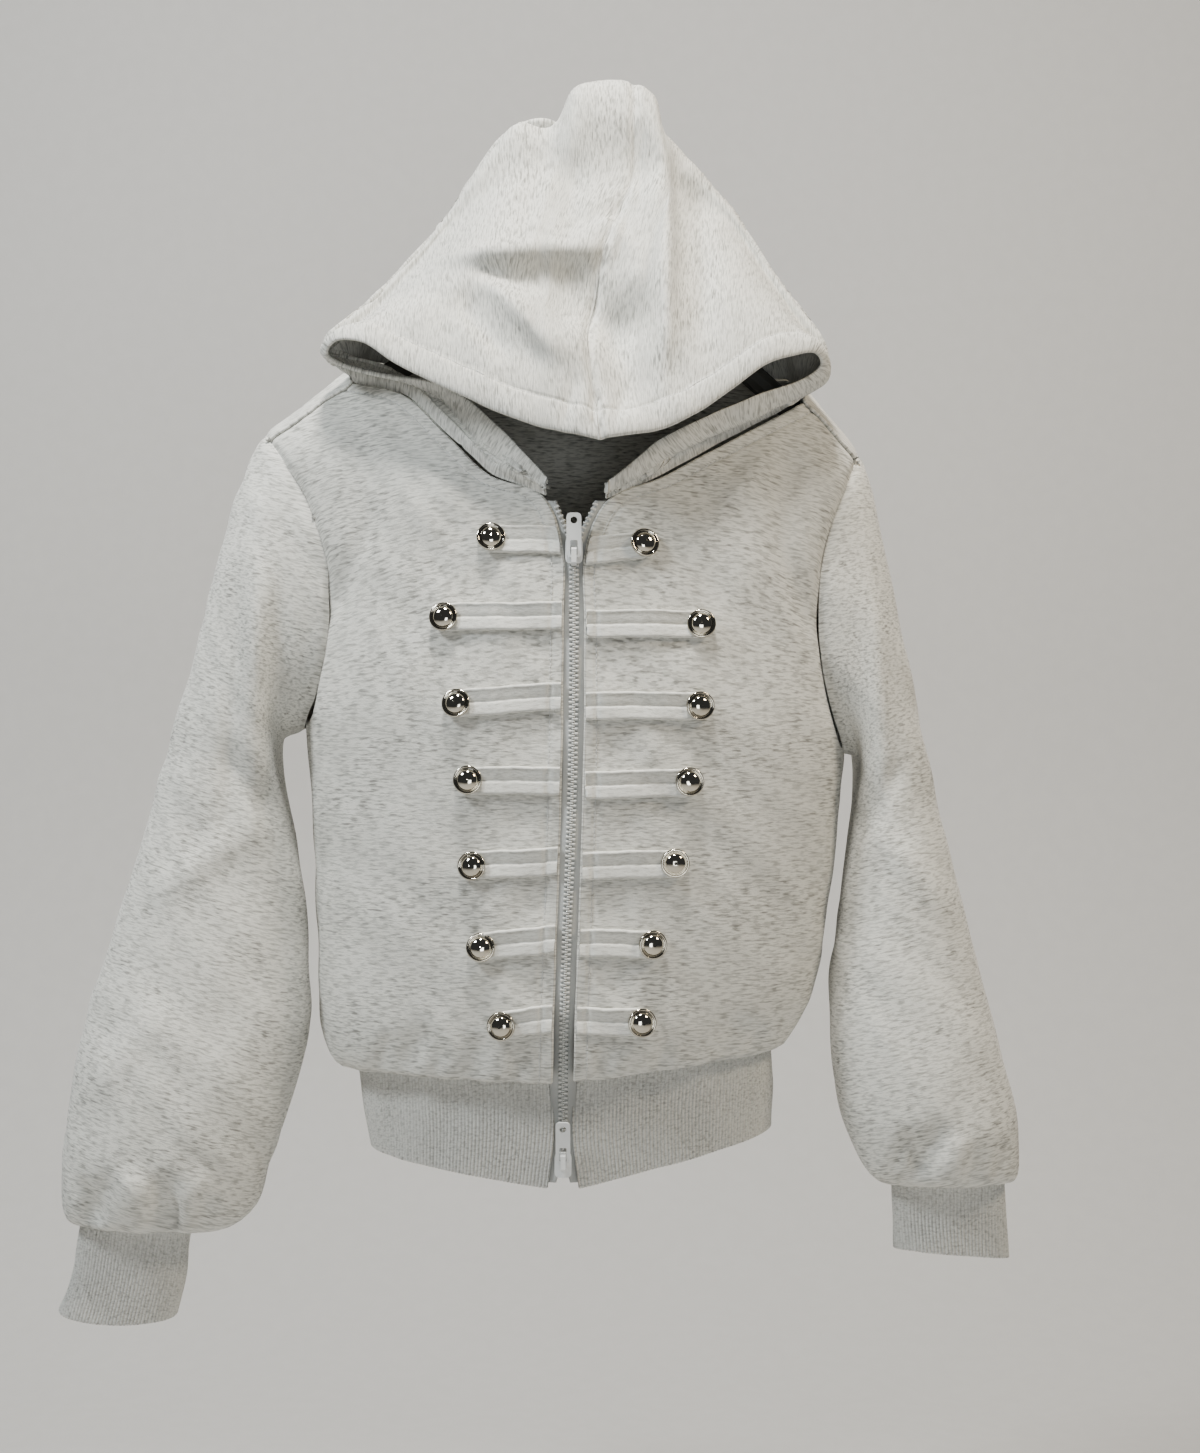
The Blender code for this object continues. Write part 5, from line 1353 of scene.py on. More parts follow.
# Creases too fine for the large folds, in the same columns.
FRONT_CREASES = table("""
    hood brow crisp: -50 -93 50 3 6.5 5.5
    hood hollow left: -62 -108 22 -6 7 -4.5
    hood hollow right: -3 -126 34 -14 19 -13
    hood drape light: -52 -136 24 -26 7 7
    hood drape shade: -72 -143 14 -20 7 -4.5
    hood front hollow: 11 -158 7 -38 16 -10
    hood right edge: 36 -94 -2 -78 6 8
    hood right hollow: 54 -96 6 -66 11 -6.5
    hood crook ridge: -38 -58 -9 -38 6 2.6
    hood crook shade: -22 -60 -5 -38 8 -3
    hood crook pinch: -4 -66 18 8 5 -2.2
    hood crook pinch two: 8 -80 12 -14 4 2
    left sleeve fold: -218 -375 2 84 7 3.4
    left sleeve fold shade: -233 -370 4 80 7 -2.8
    left sleeve inner shade: -204 -350 2 60 6 -2.6
    left sleeve puff: -297 -674 4 12 10 3
    right sleeve puff: 216 -650 3 12 9 2.6
    right sleeve fold: 170 -370 4 -70 7 2.8
    left chest shade: -150 -230 6 -40 12 -2.4
    right chest shade: 112 -240 5 40 12 -2.4
    brim pinch left: -22 -190 3 16 4 -2.2
    brim pinch middle: -8 -196 2 15 3.5 -2
    brim pinch right: 8 -194 4 14 4 -1.8
    hood seam dip: 22 -30 2 34 3 -1.6
    hood seam low: 11 -80 5 22 3 -1.4
    hood side light: 48 -60 12 60 7 1.6
    hood left soft: -95 -118 26 24 9 1.8
    left neck drag: -118 -212 20 -22 7 -2.4
    left neck drag two: -100 -238 22 -26 8 2.4
    left armhole drag: -160 -290 18 36 8 -2.4
    left armhole roll: -176 -330 4 44 6 2.2
    right armhole drag: 118 -300 12 -40 8 -2.4
    right neck drag: 88 -232 18 24 7 2.2
    left zip wave one: -44 -340 15 1 12 -1.4
    left zip wave two: -46 -392 16 -1 12 -1.4
    left zip wave three: -46 -441 17 1.5 12 -1.5
    left zip wave four: -44 -491 15 2 12 -1.3
    left zip wave five: -43 -538 14 3 12 -1.4
    right zip wave one: 10 -347 15 1 12 -1.4
    right zip wave two: 9 -396 16 -1 12 -1.4
    right zip wave three: 7 -444 15 1 12 -1.4
    right zip wave four: 3 -492 14 -2 12 -1.3
    right zip wave five: 2 -540 13 -2 12 -1.3
    left hem gather one: -138 -588 4 13 5 -3.2
    left hem gather two: -104 -592 3 13 5 -3.2
    left hem gather three: -54 -594 2 11 5 -3.2
    right hem gather one: -2 -592 2 11 5 -3.2
    right hem gather two: 34 -588 3 13 5 -3.2
    right hem gather three: 92 -584 5 13 5 -3.2
    left sleeve break: -252 -470 30 22 10 3.2
    left sleeve drag: -222 -420 16 -22 8 -3
    left sleeve low: -300 -590 26 30 12 2.8
    left cuff gather one: -322 -681 6 -14 5.5 -4.6
    left cuff gather two: -270 -690 1 -13 5 -6
    left cuff puff one: -256 -672 8 10 8 2.2
    left cuff puff two: -290 -672 -8 12 9 2.2
    left cuff gather three: -250 -690 6 10 6 -2.6
    right sleeve break: 196 -478 22 -26 10 3
    right sleeve drag: 172 -430 12 24 8 -3
    right cuff gather one: 182 -652 4 14 5 -2.6
    right cuff gather two: 192 -649 6 -14 5.5 -4.6
    right cuff gather three: 246 -656 4 13 5 -2.6
""")
BACK_CREASES = table("""
    back yoke left: -80 -236 30 -20 9 1.8
    back yoke right: 46 -240 26 22 9 1.8
    back left drag: -140 -320 14 40 9 -2
    back right drag: 100 -330 12 -40 9 -2
    back small two: -10 -480 46 -10 11 1.6
    back small three: -60 -552 34 8 10 1.8
    back hem one: -140 -578 4 14 5 -2.2
    back hem two: -84 -584 3 14 5 -2.2
    back hem three: -38 -586 3 12 5 -2
    back hem four: 16 -584 3 14 5 -2.2
    back hem five: 82 -578 4 13 5 -2
    back left sleeve break: -262 -455 28 -20 10 2
    back right sleeve break: 196 -462 22 22 10 2
    back left cuff: -322 -684 4 15 5 -2.4
    back right cuff: 236 -652 4 14 5 -2.2
    hood back drape: -40 -96 24 34 10 2.4
    hood back drape two: 44 -100 16 -34 10 2.2
""")
CHEST_SMOOTHING = (120, -385.0, 70.0)  # rounds, height and reach
# Columns: long_x, long_y, long_z, phase, rise.
WAVES = (
    (97.0, 131.0, 74.0, 0.4, 0.45),
    (-61.0, 88.0, 113.0, 2.1, 0.35),
    (43.0, -67.0, 52.0, 4.4, 0.20),
    (-35.0, 49.0, -38.0, 1.3, 0.12),
)


@dataclass(frozen=True)
class Cut:
    """The flat cloth of one piece before it was sewn, in metres."""

    width: float
    length: float
    area: float
    held: Held


# What follows holds for every node of a kind, such as front for front_left.
FINE_EDGES = {              # how far close points reach from bottom, top, first and last
    "front": (5.0, 5.0, 9.0, 5.0), "back": (5.0, 5.0, 5.0, 5.0),
    "sleeve": (5.0, 0.0, 0.0, 0.0), "hood": (5.0, 24.0, 0.0, 5.0),
}
SEAMS = {
    "front": ("bottom", "top", "last"), "back": ("bottom", "first", "last"),
    "sleeve": ("bottom",), "hood": ("bottom", "last"),
}
ZIP_DRAW_REACH = 14.0       # how far from the zip, and from its top, its pull fades
ZIP_DRAW_TOP = 18.0
BRIM_POWER = 0.6            # under 1 makes the brim's puff fuller than a parabola


def kind_of(node: str) -> str:
    """Take the first word of a node's name."""
    return node.split("_")[0]


class Garment:
    """The garment's cloth faces, coarse from the sections and then refined.

    Attributes:
        faces: The refined faces by node name.
    """

    def __init__(self) -> None:
        """Draw every face."""
        left = front_grid(LEFT_FRONT, LEFT_YOKE, LEFT_SLEEVE)
        right = front_grid(RIGHT_FRONT, RIGHT_YOKE, RIGHT_SLEEVE)
        back = back_grid(left, right)
        top = back[-1]
        middle = len(top) // 2
        first_hood = hood_grid(LEFT_HOOD, neck_line(left, top[FRONT_ACROSS:middle + 1]))
        second_hood = hood_grid(
            RIGHT_HOOD, neck_line(right, top[::-1][FRONT_ACROSS:len(top) - middle]))
        coarse = {
            "front_left": Surface(left, False, True), "front_right": Surface(right),
            "back": Surface(back, False, True),
            "sleeve_left": Surface(sleeve_grid(LEFT_SLEEVE), True, True),
            "sleeve_right": Surface(sleeve_grid(RIGHT_SLEEVE), True),
            "hood_left": Surface(first_hood, False, True),
            "hood_right": Surface(second_hood),
        }
        self.faces = {name: face.refined(SIZE.grid_step, FINE_EDGES[kind_of(name)])
                      for name, face in coarse.items()}
        for name, face in self.faces.items():
            if kind_of(name) != "hood":
                face.smoothed(*CHEST_SMOOTHING)
        self.shape()
        for word, cuff in (("left", LEFT_CUFF), ("right", RIGHT_CUFF)):
            end = self.faces[f"sleeve_{word}"].points[-1]
            self.faces[f"cuff_{word}"] = self.ribbed(cuff_grid(cuff, end), True)
        hem_top = np.vstack([
            self.faces["front_left"].points[0], self.faces["back"].points[0, 1:-1],
            self.faces["front_right"].points[0, ::-1]])
        self.faces["hem_rib"] = self.ribbed(hem_grid(hem_top), False)

    def shape(self) -> None:
        """Crease, seam and stitch the panels."""
        share_normals(self.faces.values())
        for face in self.faces.values():
            face.bend(FRONT_FOLDS, -1.0)
            face.bend(BACK_FOLDS, 1.0)
        self.measure()
        share_normals(self.faces.values())
        for face in self.faces.values():
            face.bend(FRONT_CREASES, -1.0)
            face.bend(BACK_CREASES, 1.0)
            face.ripple(WAVES)
        self.measure()
        share_normals(self.faces.values())
        for name, face in self.faces.items():
            face.press(SEAMS[kind_of(name)], SIZE.seam_depth, SIZE.seam_width)
        for name, side in (("front_left", -1.0), ("front_right", 1.0)):
            face = self.faces[name]
            near = np.clip(1.0 - face.edge_distance("first") / ZIP_DRAW_REACH, 0.0, 1.0)
            near *= np.clip(face.edge_distance("top") / ZIP_DRAW_TOP, 0.0, 1.0)
            face.points[..., 0] += side * SIZE.zip_draw * near
            face.press(("first",), SIZE.stitch_depth, SIZE.stitch_width, SIZE.stitch_inset)
        for name in ("hood_left", "hood_right"):
            face = self.faces[name]
            share = np.clip(face.edge_distance("top") / SIZE.brim_width, 0.0, 1.0)
            rise = SIZE.brim_rise * (4.0 * share * (1.0 - share)) ** BRIM_POWER
            face.points += face.normals * rise[..., None]
            face.press(("top",), SIZE.brim_groove, SIZE.brim_groove_width, SIZE.brim_width)
        self.measure()

    def measure(self) -> None:
        """Measure every face's normals again."""
        for face in self.faces.values():
            face.measure()

    @staticmethod
    def ribbed(rings: list[Array], closed: bool) -> Surface:
        """Draw a rib piece whose columns rise as |cos| of their place across each rib.

        Args:
            rings: The piece's rings, top first.
            closed: Whether they are rings.

        Returns:
            The ribbed face.
        """
        ribs = int(round(run_of(rings[0])[-1] / SIZE.rib_pitch))
        count = ribs * RIB_POINTS + (0 if closed else 1)
        lines = np.array([resample(ring, count, closed) for ring in rings])
        face = Surface(even(lines, RIB_ROWS), closed)
        quarter, middle = face.normals[0, [count // 4, count // 2], 1]
        if (quarter if closed else -middle) > 0.0:
            face.flip = True
            face.measure()
        share = np.arange(count) / RIB_POINTS
        rise = SIZE.rib_rise * np.abs(np.cos(math.pi * share)) ** RIB_POWER
        face.ripple(WAVES)
        face.measure()
        face.points += face.normals * rise[None, :, None]
        return face


# ---- straps, buttons, zip and stitches -----------------------------------------------

STRAP_GAP = 0.9             # between the zip's cloth edge and a strap's end
STRAP_PAST = 8.0            # how far a strap runs past its button
STRAP_POINT = 9.0           # how long its pointed end is
STRAP_STEP = 1.6
STRAP_POINT_STEPS = 9
STRAP_TIP = (0.10, 0.90, 0.55)  # its width as tip + rest * share ^ power
STRAP_FLAT = 0.55           # a strap narrower than the rest of this is lower
STRAP_WOBBLE = ((0.22, 9.0), (0.12, 23.0))  # height and waves along a strap
STRAP_TUCK = (0.5, 7.0, 1.4)  # how much its seam flattens it, where, half width
STRAP_LIFT = 0.15
# A strap's cross-section: share of its half width, and height over the panel. Two folded
# lanes lie beside a groove, and the upper edge of each lane is turned under.
STRAP_PROFILE = (
    (-1.00, 0.0), (-1.03, 0.7), (-1.01, 1.9), (-0.95, 2.65), (-0.86, 2.8), (-0.78, 2.4),
    (-0.70, 2.15), (-0.55, 2.0), (-0.38, 1.8), (-0.22, 1.55), (-0.10, 1.2), (-0.03, 0.85),
    (0.03, 0.85), (0.08, 1.5), (0.15, 1.95), (0.28, 2.1), (0.45, 2.25), (0.62, 2.45),
    (0.78, 2.65), (0.88, 2.75), (0.96, 2.5), (1.01, 1.7), (1.03, 0.7),
    (1.00, 0.0), (0.5, 0.0), (0.0, 0.0), (-0.5, 0.0),
)


def loft(name: str, rings: Array, places: Array | None = None) -> bpy.types.Object:
    """Join closed rings of points into a capped body.

    Args:
        name: The object's name.
        rings: Rings, their points and xyz.
        places: Texture places for each ring point, in metres.

    Returns:
        The object.
    """
    count, size = rings.shape[:2]
    points = np.concatenate([rings.reshape(-1, 3), rings[[0, -1]].mean(axis=1)])
    quads = grid_quads(count, size, True)
    index = np.arange(size)
    after = (index + 1) % size
    last = (count - 1) * size
    caps = np.concatenate([
        np.stack([np.full(size, count * size), after, index], -1),
        np.stack([np.full(size, count * size + 1), last + index, last + after], -1)])
    mesh = bpy.data.meshes.new(name)
    mesh.from_pydata((points * MM).tolist(), [], quads.tolist() + caps.tolist())
    if places is not None:
        corners = np.concatenate([quads.ravel(), caps.ravel()])
        add_uv(mesh, np.vstack([places, np.zeros((2, 2))])[corners])
    mesh.shade_smooth()
    return link(name, mesh)


def strap_object(name: str, panel: Surface, side: float, strap: Row) -> bpy.types.Object:
    """Lay a strap on its panel from the zip out to the point past its button.

    Args:
        name: The object's name.
        panel: The front that it lies on.
        side: -1 on the left, +1 on the right.
        strap: Height at the zip, and the button's x and z.

    Returns:
        The strap.
    """
    zip_z, button_x, button_z = strap
    x, apart, _ = zip_line(np.array([zip_z]))
    start = x[0] + side * (ZIP_HALF + apart[0] + STRAP_GAP)
    end = button_x + side * STRAP_PAST
    length = abs(end - start)
    point = STRAP_POINT / length
    shares = np.concatenate([np.linspace(0.0, 1.0 - point, int(length / STRAP_STEP)),
                             np.linspace(1.0 - point, 1.0, STRAP_POINT_STEPS)[1:]])
    narrow = np.where(shares > 1.0 - point, (1.0 - shares) / point, 1.0)
    tip, rest, power = STRAP_TIP
    width = tip + rest * narrow ** power
    profile = np.array(STRAP_PROFILE)
    wobble = sum(rise * np.sin(shares * turns + phase) for (rise, turns), phase
                 in zip(STRAP_WOBBLE, (button_z, button_x)))
    middle_x = start + (end - start) * shares
    middle_z = zip_z + (button_z - zip_z) * shares + wobble
    half = SIZE.strap_width / 2.0
    at_x = np.broadcast_to(middle_x[:, None], (len(shares), len(profile)))
    at_z = middle_z[:, None] - profile[:, 0] * half * width[:, None]
    foot, normal = panel.at(*panel.find(np.array(at_x), at_z))
    height = profile[:, 1] * np.minimum(1.0, STRAP_FLAT + width[:, None])
    depth, middle, half_width = STRAP_TUCK
    tuck = 1.0 - depth * np.exp(-((shares * length - middle) / half_width) ** 2)
    rings = foot + normal * (STRAP_LIFT + height * tuck[:, None])[..., None]
    flip = 1 if side > 0 else -1
    u = np.broadcast_to((shares * length)[:, None], at_z.shape)
    v = np.broadcast_to(profile[:, 0] * half, at_z.shape)
    places = np.stack([u, v], -1)[:, ::flip].reshape(-1, 2) * MM
    return loft(name, rings[:, ::flip], places)


BUTTON_LIFT = 2.0
BUTTON_POINTS = 56
BUTTON_LEANS = (0.13, 5.1, 0.10, 0.08, 3.7)  # how sewing tilts each dome its own way
# Columns: radius, height.
BUTTON_PROFILE = (
    (0.0, 5.6), (1.2, 5.55), (2.5, 5.38), (3.7, 5.05), (4.8, 4.5), (5.6, 3.85),
    (6.15, 3.15), (6.45, 2.5), (6.6, 2.05), (6.85, 1.85), (7.2, 2.2), (7.7, 2.6),
    (8.25, 2.65), (8.65, 2.3), (8.8, 1.6), (8.7, 0.9), (8.3, 0.45), (7.5, 0.15),
    (5.0, 0.0), (0.0, 0.0),
)


def button_object(name: str, panel: Surface, x: float, z: float) -> bpy.types.Object:
    """Turn a domed button and set it square on its strap.

    Args:
        name: The object's name.
        panel: The front under it.
        x: The button's x.
        z: The button's z.

    Returns:
        The button.
    """
    foot, normal = panel.at(*panel.find(np.array([x]), np.array([z])))
    across = unit(np.cross(UP, normal[0]))
    sway, sway_turn, rise, nod, nod_turn = BUTTON_LEANS
    axis = unit(normal[0] + sway * math.sin(sway_turn * x) * across
                + (rise + nod * math.sin(nod_turn * z)) * UP)
    across = unit(np.cross(UP, axis))
    radius, height = np.array(BUTTON_PROFILE).T[..., None, None]
    angle = np.linspace(0.0, 2.0 * math.pi, BUTTON_POINTS, endpoint=False)[:, None]
    radial = np.cos(angle) * across + np.sin(angle) * np.cross(axis, across)
    rings = foot[0] + axis * BUTTON_LIFT + radial[None] * radius + axis * height
    return loft(name, rings[::-1])


BLOCK_RINGS = (-1.0, 0.45, 1.0)  # heights of a block's back, shoulder and front
BLOCK_QUADS = np.array((
    (0, 1, 5, 4), (1, 2, 6, 5), (2, 3, 7, 6), (3, 0, 4, 7), (4, 5, 9, 8),
    (5, 6, 10, 9), (6, 7, 11, 10), (7, 4, 8, 11), (8, 9, 10, 11), (3, 2, 1, 0)))


def boxes(name: str, centres: Array, ups: Array, outs: Array, half: Array,
          bulge: float) -> bpy.types.Object:
    """Make many small rounded blocks as one mesh.

    Args:
        name: The object's name.
        centres: The blocks' middles.
        ups: Their long axes' directions.
        outs: The directions that they face.
        half: Half sizes across, up and out, one row for each block.
        bulge: How much smaller the front face is.

    Returns:
        The joined blocks.
    """
    ups, outs = unit(ups), unit(outs)
    shell = np.array([(sx, sy, so) for so in BLOCK_RINGS
                      for sx, sy in ((-1, -1), (1, -1), (1, 1), (-1, 1))])
    shell[-4:, :2] *= 1.0 - bulge
    placed = centres[:, None]
    for axis, way in enumerate((unit(np.cross(ups, outs)), ups, outs)):
        placed = placed + way[:, None] * (shell[None, :, axis, None]
                                          * half[:, None, axis, None])
    first = len(shell) * np.arange(len(centres))[:, None, None]
    return make_mesh(name, placed.reshape(-1, 3), (BLOCK_QUADS + first).reshape(-1, 4))


HEM_OVERLAP = 30.0          # over the hem's waist, where a front's own edge is read
NECK_LINE_Z = -240.0


def edge_x(garment: Garment, node: str, z: Array) -> Array:
    """Read the x of a front's zip edge, and of the hem's below it.

    Args:
        garment: The garment.
        node: The front's node name.
        z: Heights.

    Returns:
        The edge's x at each height.
    """
    front = garment.faces[node].points[:, 0]
    hem = [(HEM[row][HEM_ZIP_X[node]], HEM[row][HEM_Z]) for row in ("edge", "waist")]
    keep = (front[:, 2] > hem[1][1] + HEM_OVERLAP) & (front[:, 2] < NECK_LINE_Z)
    x, heights = np.vstack([hem, front[keep][:, [0, 2]]]).T
    return np.interp(z, heights, x)


# The tape's section from the zip's middle out to the cloth and back, with the bead that
# carries the teeth. Columns: across (None is as far as the cloth), depth.
TAPE_SECTION = ((0.2, 0.0), (1.4, -0.45), (2.7, 0.25), (None, 0.75), (None, 1.55),
                (2.7, 1.3), (0.2, 1.0))
TAPE_TUCK = 1.2             # how far the tape reaches under the cloth
TAPE_ROWS = 300


def tape_object(garment: Garment, name: str, node: str, side: float) -> bpy.types.Object:
    """Draw one half of the zip's tape, with the bead that carries its teeth.

    Args:
        garment: The garment.
        name: The object's name.
        node: The front's node name.
        side: -1 on the left, +1 on the right.

    Returns:
        The tape.
    """
    z = np.linspace(ZIP_LINE["bottom"][0], ZIP_LINE["top"][0], TAPE_ROWS)
    x, apart, y = zip_line(z)
    reach = np.abs(edge_x(garment, node, z) - x) - apart + TAPE_TUCK
    across = np.stack([reach if out is None else np.full_like(z, out)
                       for out, _ in TAPE_SECTION], 1)
    depth = np.array([depth for _, depth in TAPE_SECTION])
    height = np.broadcast_to(z[:, None], across.shape)
    rings = np.stack([x[:, None] + side * (apart[:, None] + across),
                      y[:, None] + depth[None], height], -1)
    places = np.stack([across, height], -1) * MM
    order = slice(None, None, -1) if side > 0 else slice(None)
    return loft(name, rings[:, order], places[:, order].reshape(-1, 2))


FIRST_TOOTH = 12.0          # over the zip's pin
LAST_TOOTH = 1.0            # under its top
TOOTH_CLOSES = 1.2          # how far apart the halves are where the teeth let go
TOOTH_FOOT = ((1.15, 0.8, 1.0), 1.75, 0.4)  # half sizes, how far across and out
TOOTH_HEAD = ((1.0, 0.62, 1.15), (0.55, 0.05), 0.5)  # the same; across: open, closed


def teeth_object(name: str, side: float) -> bpy.types.Object:
    """Set one half's moulded teeth along the zip, shifted by half a pitch on the right.

    Args:
        name: The object's name.
        side: -1 on the left, +1 on the right.

    Returns:
        The teeth.
    """
    shift = 0.0 if side < 0 else SIZE.tooth_pitch / 2.0
    z = np.arange(ZIP_LINE["pin"][0] + FIRST_TOOTH + shift,
                  ZIP_LINE["top"][0] - LAST_TOOTH, SIZE.tooth_pitch)
    x, apart, y = zip_line(z)
    x_up, apart_up, y_up = zip_line(z + 1.0)
    line = np.stack([x + side * apart, y, z], 1)
    up = unit(np.stack([x_up + side * apart_up, y_up, z + 1.0], 1) - line)
    out = unit(np.cross(np.cross(up, (0.0, -1.0, 0.0)), up))
    right = unit(np.cross(up, out))
    right = right * np.sign(right[:, :1]) * side
    closed = np.exp(-(apart / TOOTH_CLOSES) ** 2)[:, None]
    (foot_half, foot_across, foot_out), (head_half, (gap, meeting), head_out) = (
        TOOTH_FOOT, TOOTH_HEAD)
    centres = np.concatenate([
        line + right * foot_across + out * foot_out,
        line + right * (gap * (1 - closed) + meeting * closed) + out * head_out])
    half = np.repeat((foot_half, head_half), len(z), 0)
    return boxes(name, centres, np.tile(up, (2, 1)), np.tile(out, (2, 1)), half, 0.4)


def stitches(name: str, lines: Sequence[tuple[Array, Array]]) -> bpy.types.Object:
    """Sew rows of short threads along lines.

    Args:
        name: The object's name.
        lines: Points and normals of each line.

    Returns:
        The threads.
    """
    found = []
    for points, normals in lines:
        run = run_of(points)
        at = np.arange(SIZE.stitch_pitch / 2.0, run[-1], SIZE.stitch_pitch)
        spot, ahead, back = (read_line(points, run, at + step) for step in (0.0, 0.5, -0.5))
        normal = unit(read_line(normals, run, at))
        found.append((spot + normal * SIZE.thread_lift, ahead - back, normal))
    centres, ups, outs = (np.concatenate(part) for part in zip(*found))
    half = np.tile((SIZE.thread_radius, SIZE.stitch_length / 2.0, SIZE.thread_radius),
                   (len(centres), 1))
    return boxes(name, centres, ups, outs, half, 0.3)


def line_beside(face: Surface, edge: str, away: float) -> tuple[Array, Array]:
    """Find the line at a distance from an edge.

    Args:
        face: The face.
        edge: bottom, top, first or last.
        away: The distance.

    Returns:
        Its points and normals.
    """
    distance = face.edge_distance(edge)
    points, normals = face.points, face.normals
    if edge in ("bottom", "top"):
        distance = distance.T
        points, normals = points.swapaxes(0, 1), normals.swapaxes(0, 1)
    if edge in ("top", "last"):
        distance, points, normals = distance[:, ::-1], points[:, ::-1], normals[:, ::-1]
    after = np.minimum((distance < away).sum(axis=1), distance.shape[1] - 1)
    index = np.arange(len(distance))
    low, high = distance[index, after - 1], distance[index, after]
    share = np.clip((away - low) / np.maximum(high - low, 1e-6), 0.0, 1.0)[:, None]
    spot = points[index, after - 1] * (1 - share) + points[index, after] * share
    return spot, unit(normals[index, after])


# ---- finishes ------------------------------------------------------------------------


@dataclass(frozen=True)
class Knit:
    """How a heather knit looks.

    Attributes:
        name: The material's name.
        base: Its pale yarn.
        streak: Its dark fibres.
        amount: How much of the streaks' colour shows.
        long: The streaks' length in metres.
        short: Their height in metres.
        grain: The bump's strength.
    """

    name: str
    base: tuple[float, float, float]
    streak: tuple[float, float, float]
    amount: float
    long: float
    short: float
    grain: float


@dataclass(frozen=True)
class Hard:
    """How a hard piece looks.

    Attributes:
        name: The material's name.
        colour: Its colour.
        roughness: Its mean roughness.
        metallic: 1 for metal.
        coat: The clear coat's weight.
        mottle: How much darker its darker places are.
        grain: The fine bump's strength.
        grain_scale: How fine the bump is, in waves a metre.
    """

    name: str
    colour: tuple[float, float, float]
    roughness: float
    metallic: float = 0.0
    coat: float = 0.0
    mottle: float = 0.08
    grain: float = 0.05
    grain_scale: float = 2500.0


KNITS = {
    "heather": Knit("Heather double knit", (0.70, 0.69, 0.64), (0.30, 0.295, 0.27), 1.0,
                    0.0064, 0.0011, 0.35),
    "strap": Knit("Heather strap", (0.70, 0.695, 0.65), (0.34, 0.33, 0.30), 0.6,
                  0.0045, 0.0010, 0.3),
    "rib": Knit("Heather rib", (0.62, 0.615, 0.58), (0.27, 0.265, 0.245), 0.7,
                0.0030, 0.0012, 0.3),
}
FINISHES = {
    # The zip tape's grey is partly its own colour and partly painted shade: it is darkened
    # for its recess beside the teeth, under the cloth's edges.
    "tape": Hard("Zip tape with painted shade", (0.47, 0.475, 0.46), 0.85),
    "teeth": Hard("Moulded teeth", (0.66, 0.66, 0.63), 0.38),
    "paint": Hard("Painted slider", (0.74, 0.75, 0.74), 0.32, 0.0, 0.3),
    "nickel": Hard("Polished nickel", (0.62, 0.58, 0.50), 0.07, 1.0),
    "black": Hard("Dark hanger", (0.12, 0.118, 0.105), 0.6),
    "thread": Hard("Sewing thread", (0.60, 0.60, 0.58), 0.8),
}
FLOOR = Hard("Pale floor", (0.60, 0.59, 0.575), 0.9, 0.0, 0.0, 0.012, 0.0)


@dataclass(frozen=True)
class Streak:
    """One size of streak in a heather.

    Attributes:
        long: Its length, as a share of the knit's own.
        short: Its height, as a share of the knit's own.
        low: The noise where it starts.
        high: The noise where it is fully dark.
        turn: How far it turns off the grain, in radians.
        weight: How much it darkens.
    """

    long: float
    short: float
    low: float
    high: float
    turn: float
    weight: float


STREAKS = (
    Streak(0.5, 0.5, 0.36, 0.74, -0.03, 0.12), Streak(1.0, 1.0, 0.48, 0.66, 0.0, 0.46),
    Streak(1.5, 1.7, 0.50, 0.68, 0.03, 0.42),
)
CLOUD = (0.045, 0.030, 0.38, 0.66, 2.0)  # long and short in metres, low, high, detail
CLOUD_SHADE = (0.30, 0.80)  # density as share * cloud + rest
KNIT_SHADER = {"Roughness": 0.88, "Specular IOR Level": 0.25, "Sheen Weight": 0.22,
               "Sheen Roughness": 0.45}
NAP_WAVES = (900.0, 1500.0, 1.0)  # a metre
NAP_DEPTH = 0.0006
MOTTLE_WAVES = 60.0
GLOSS_WEAR = (0.6, 0.7)     # roughness: mean * (wear * noise + rest)
GRAIN_DEPTH = 0.0003


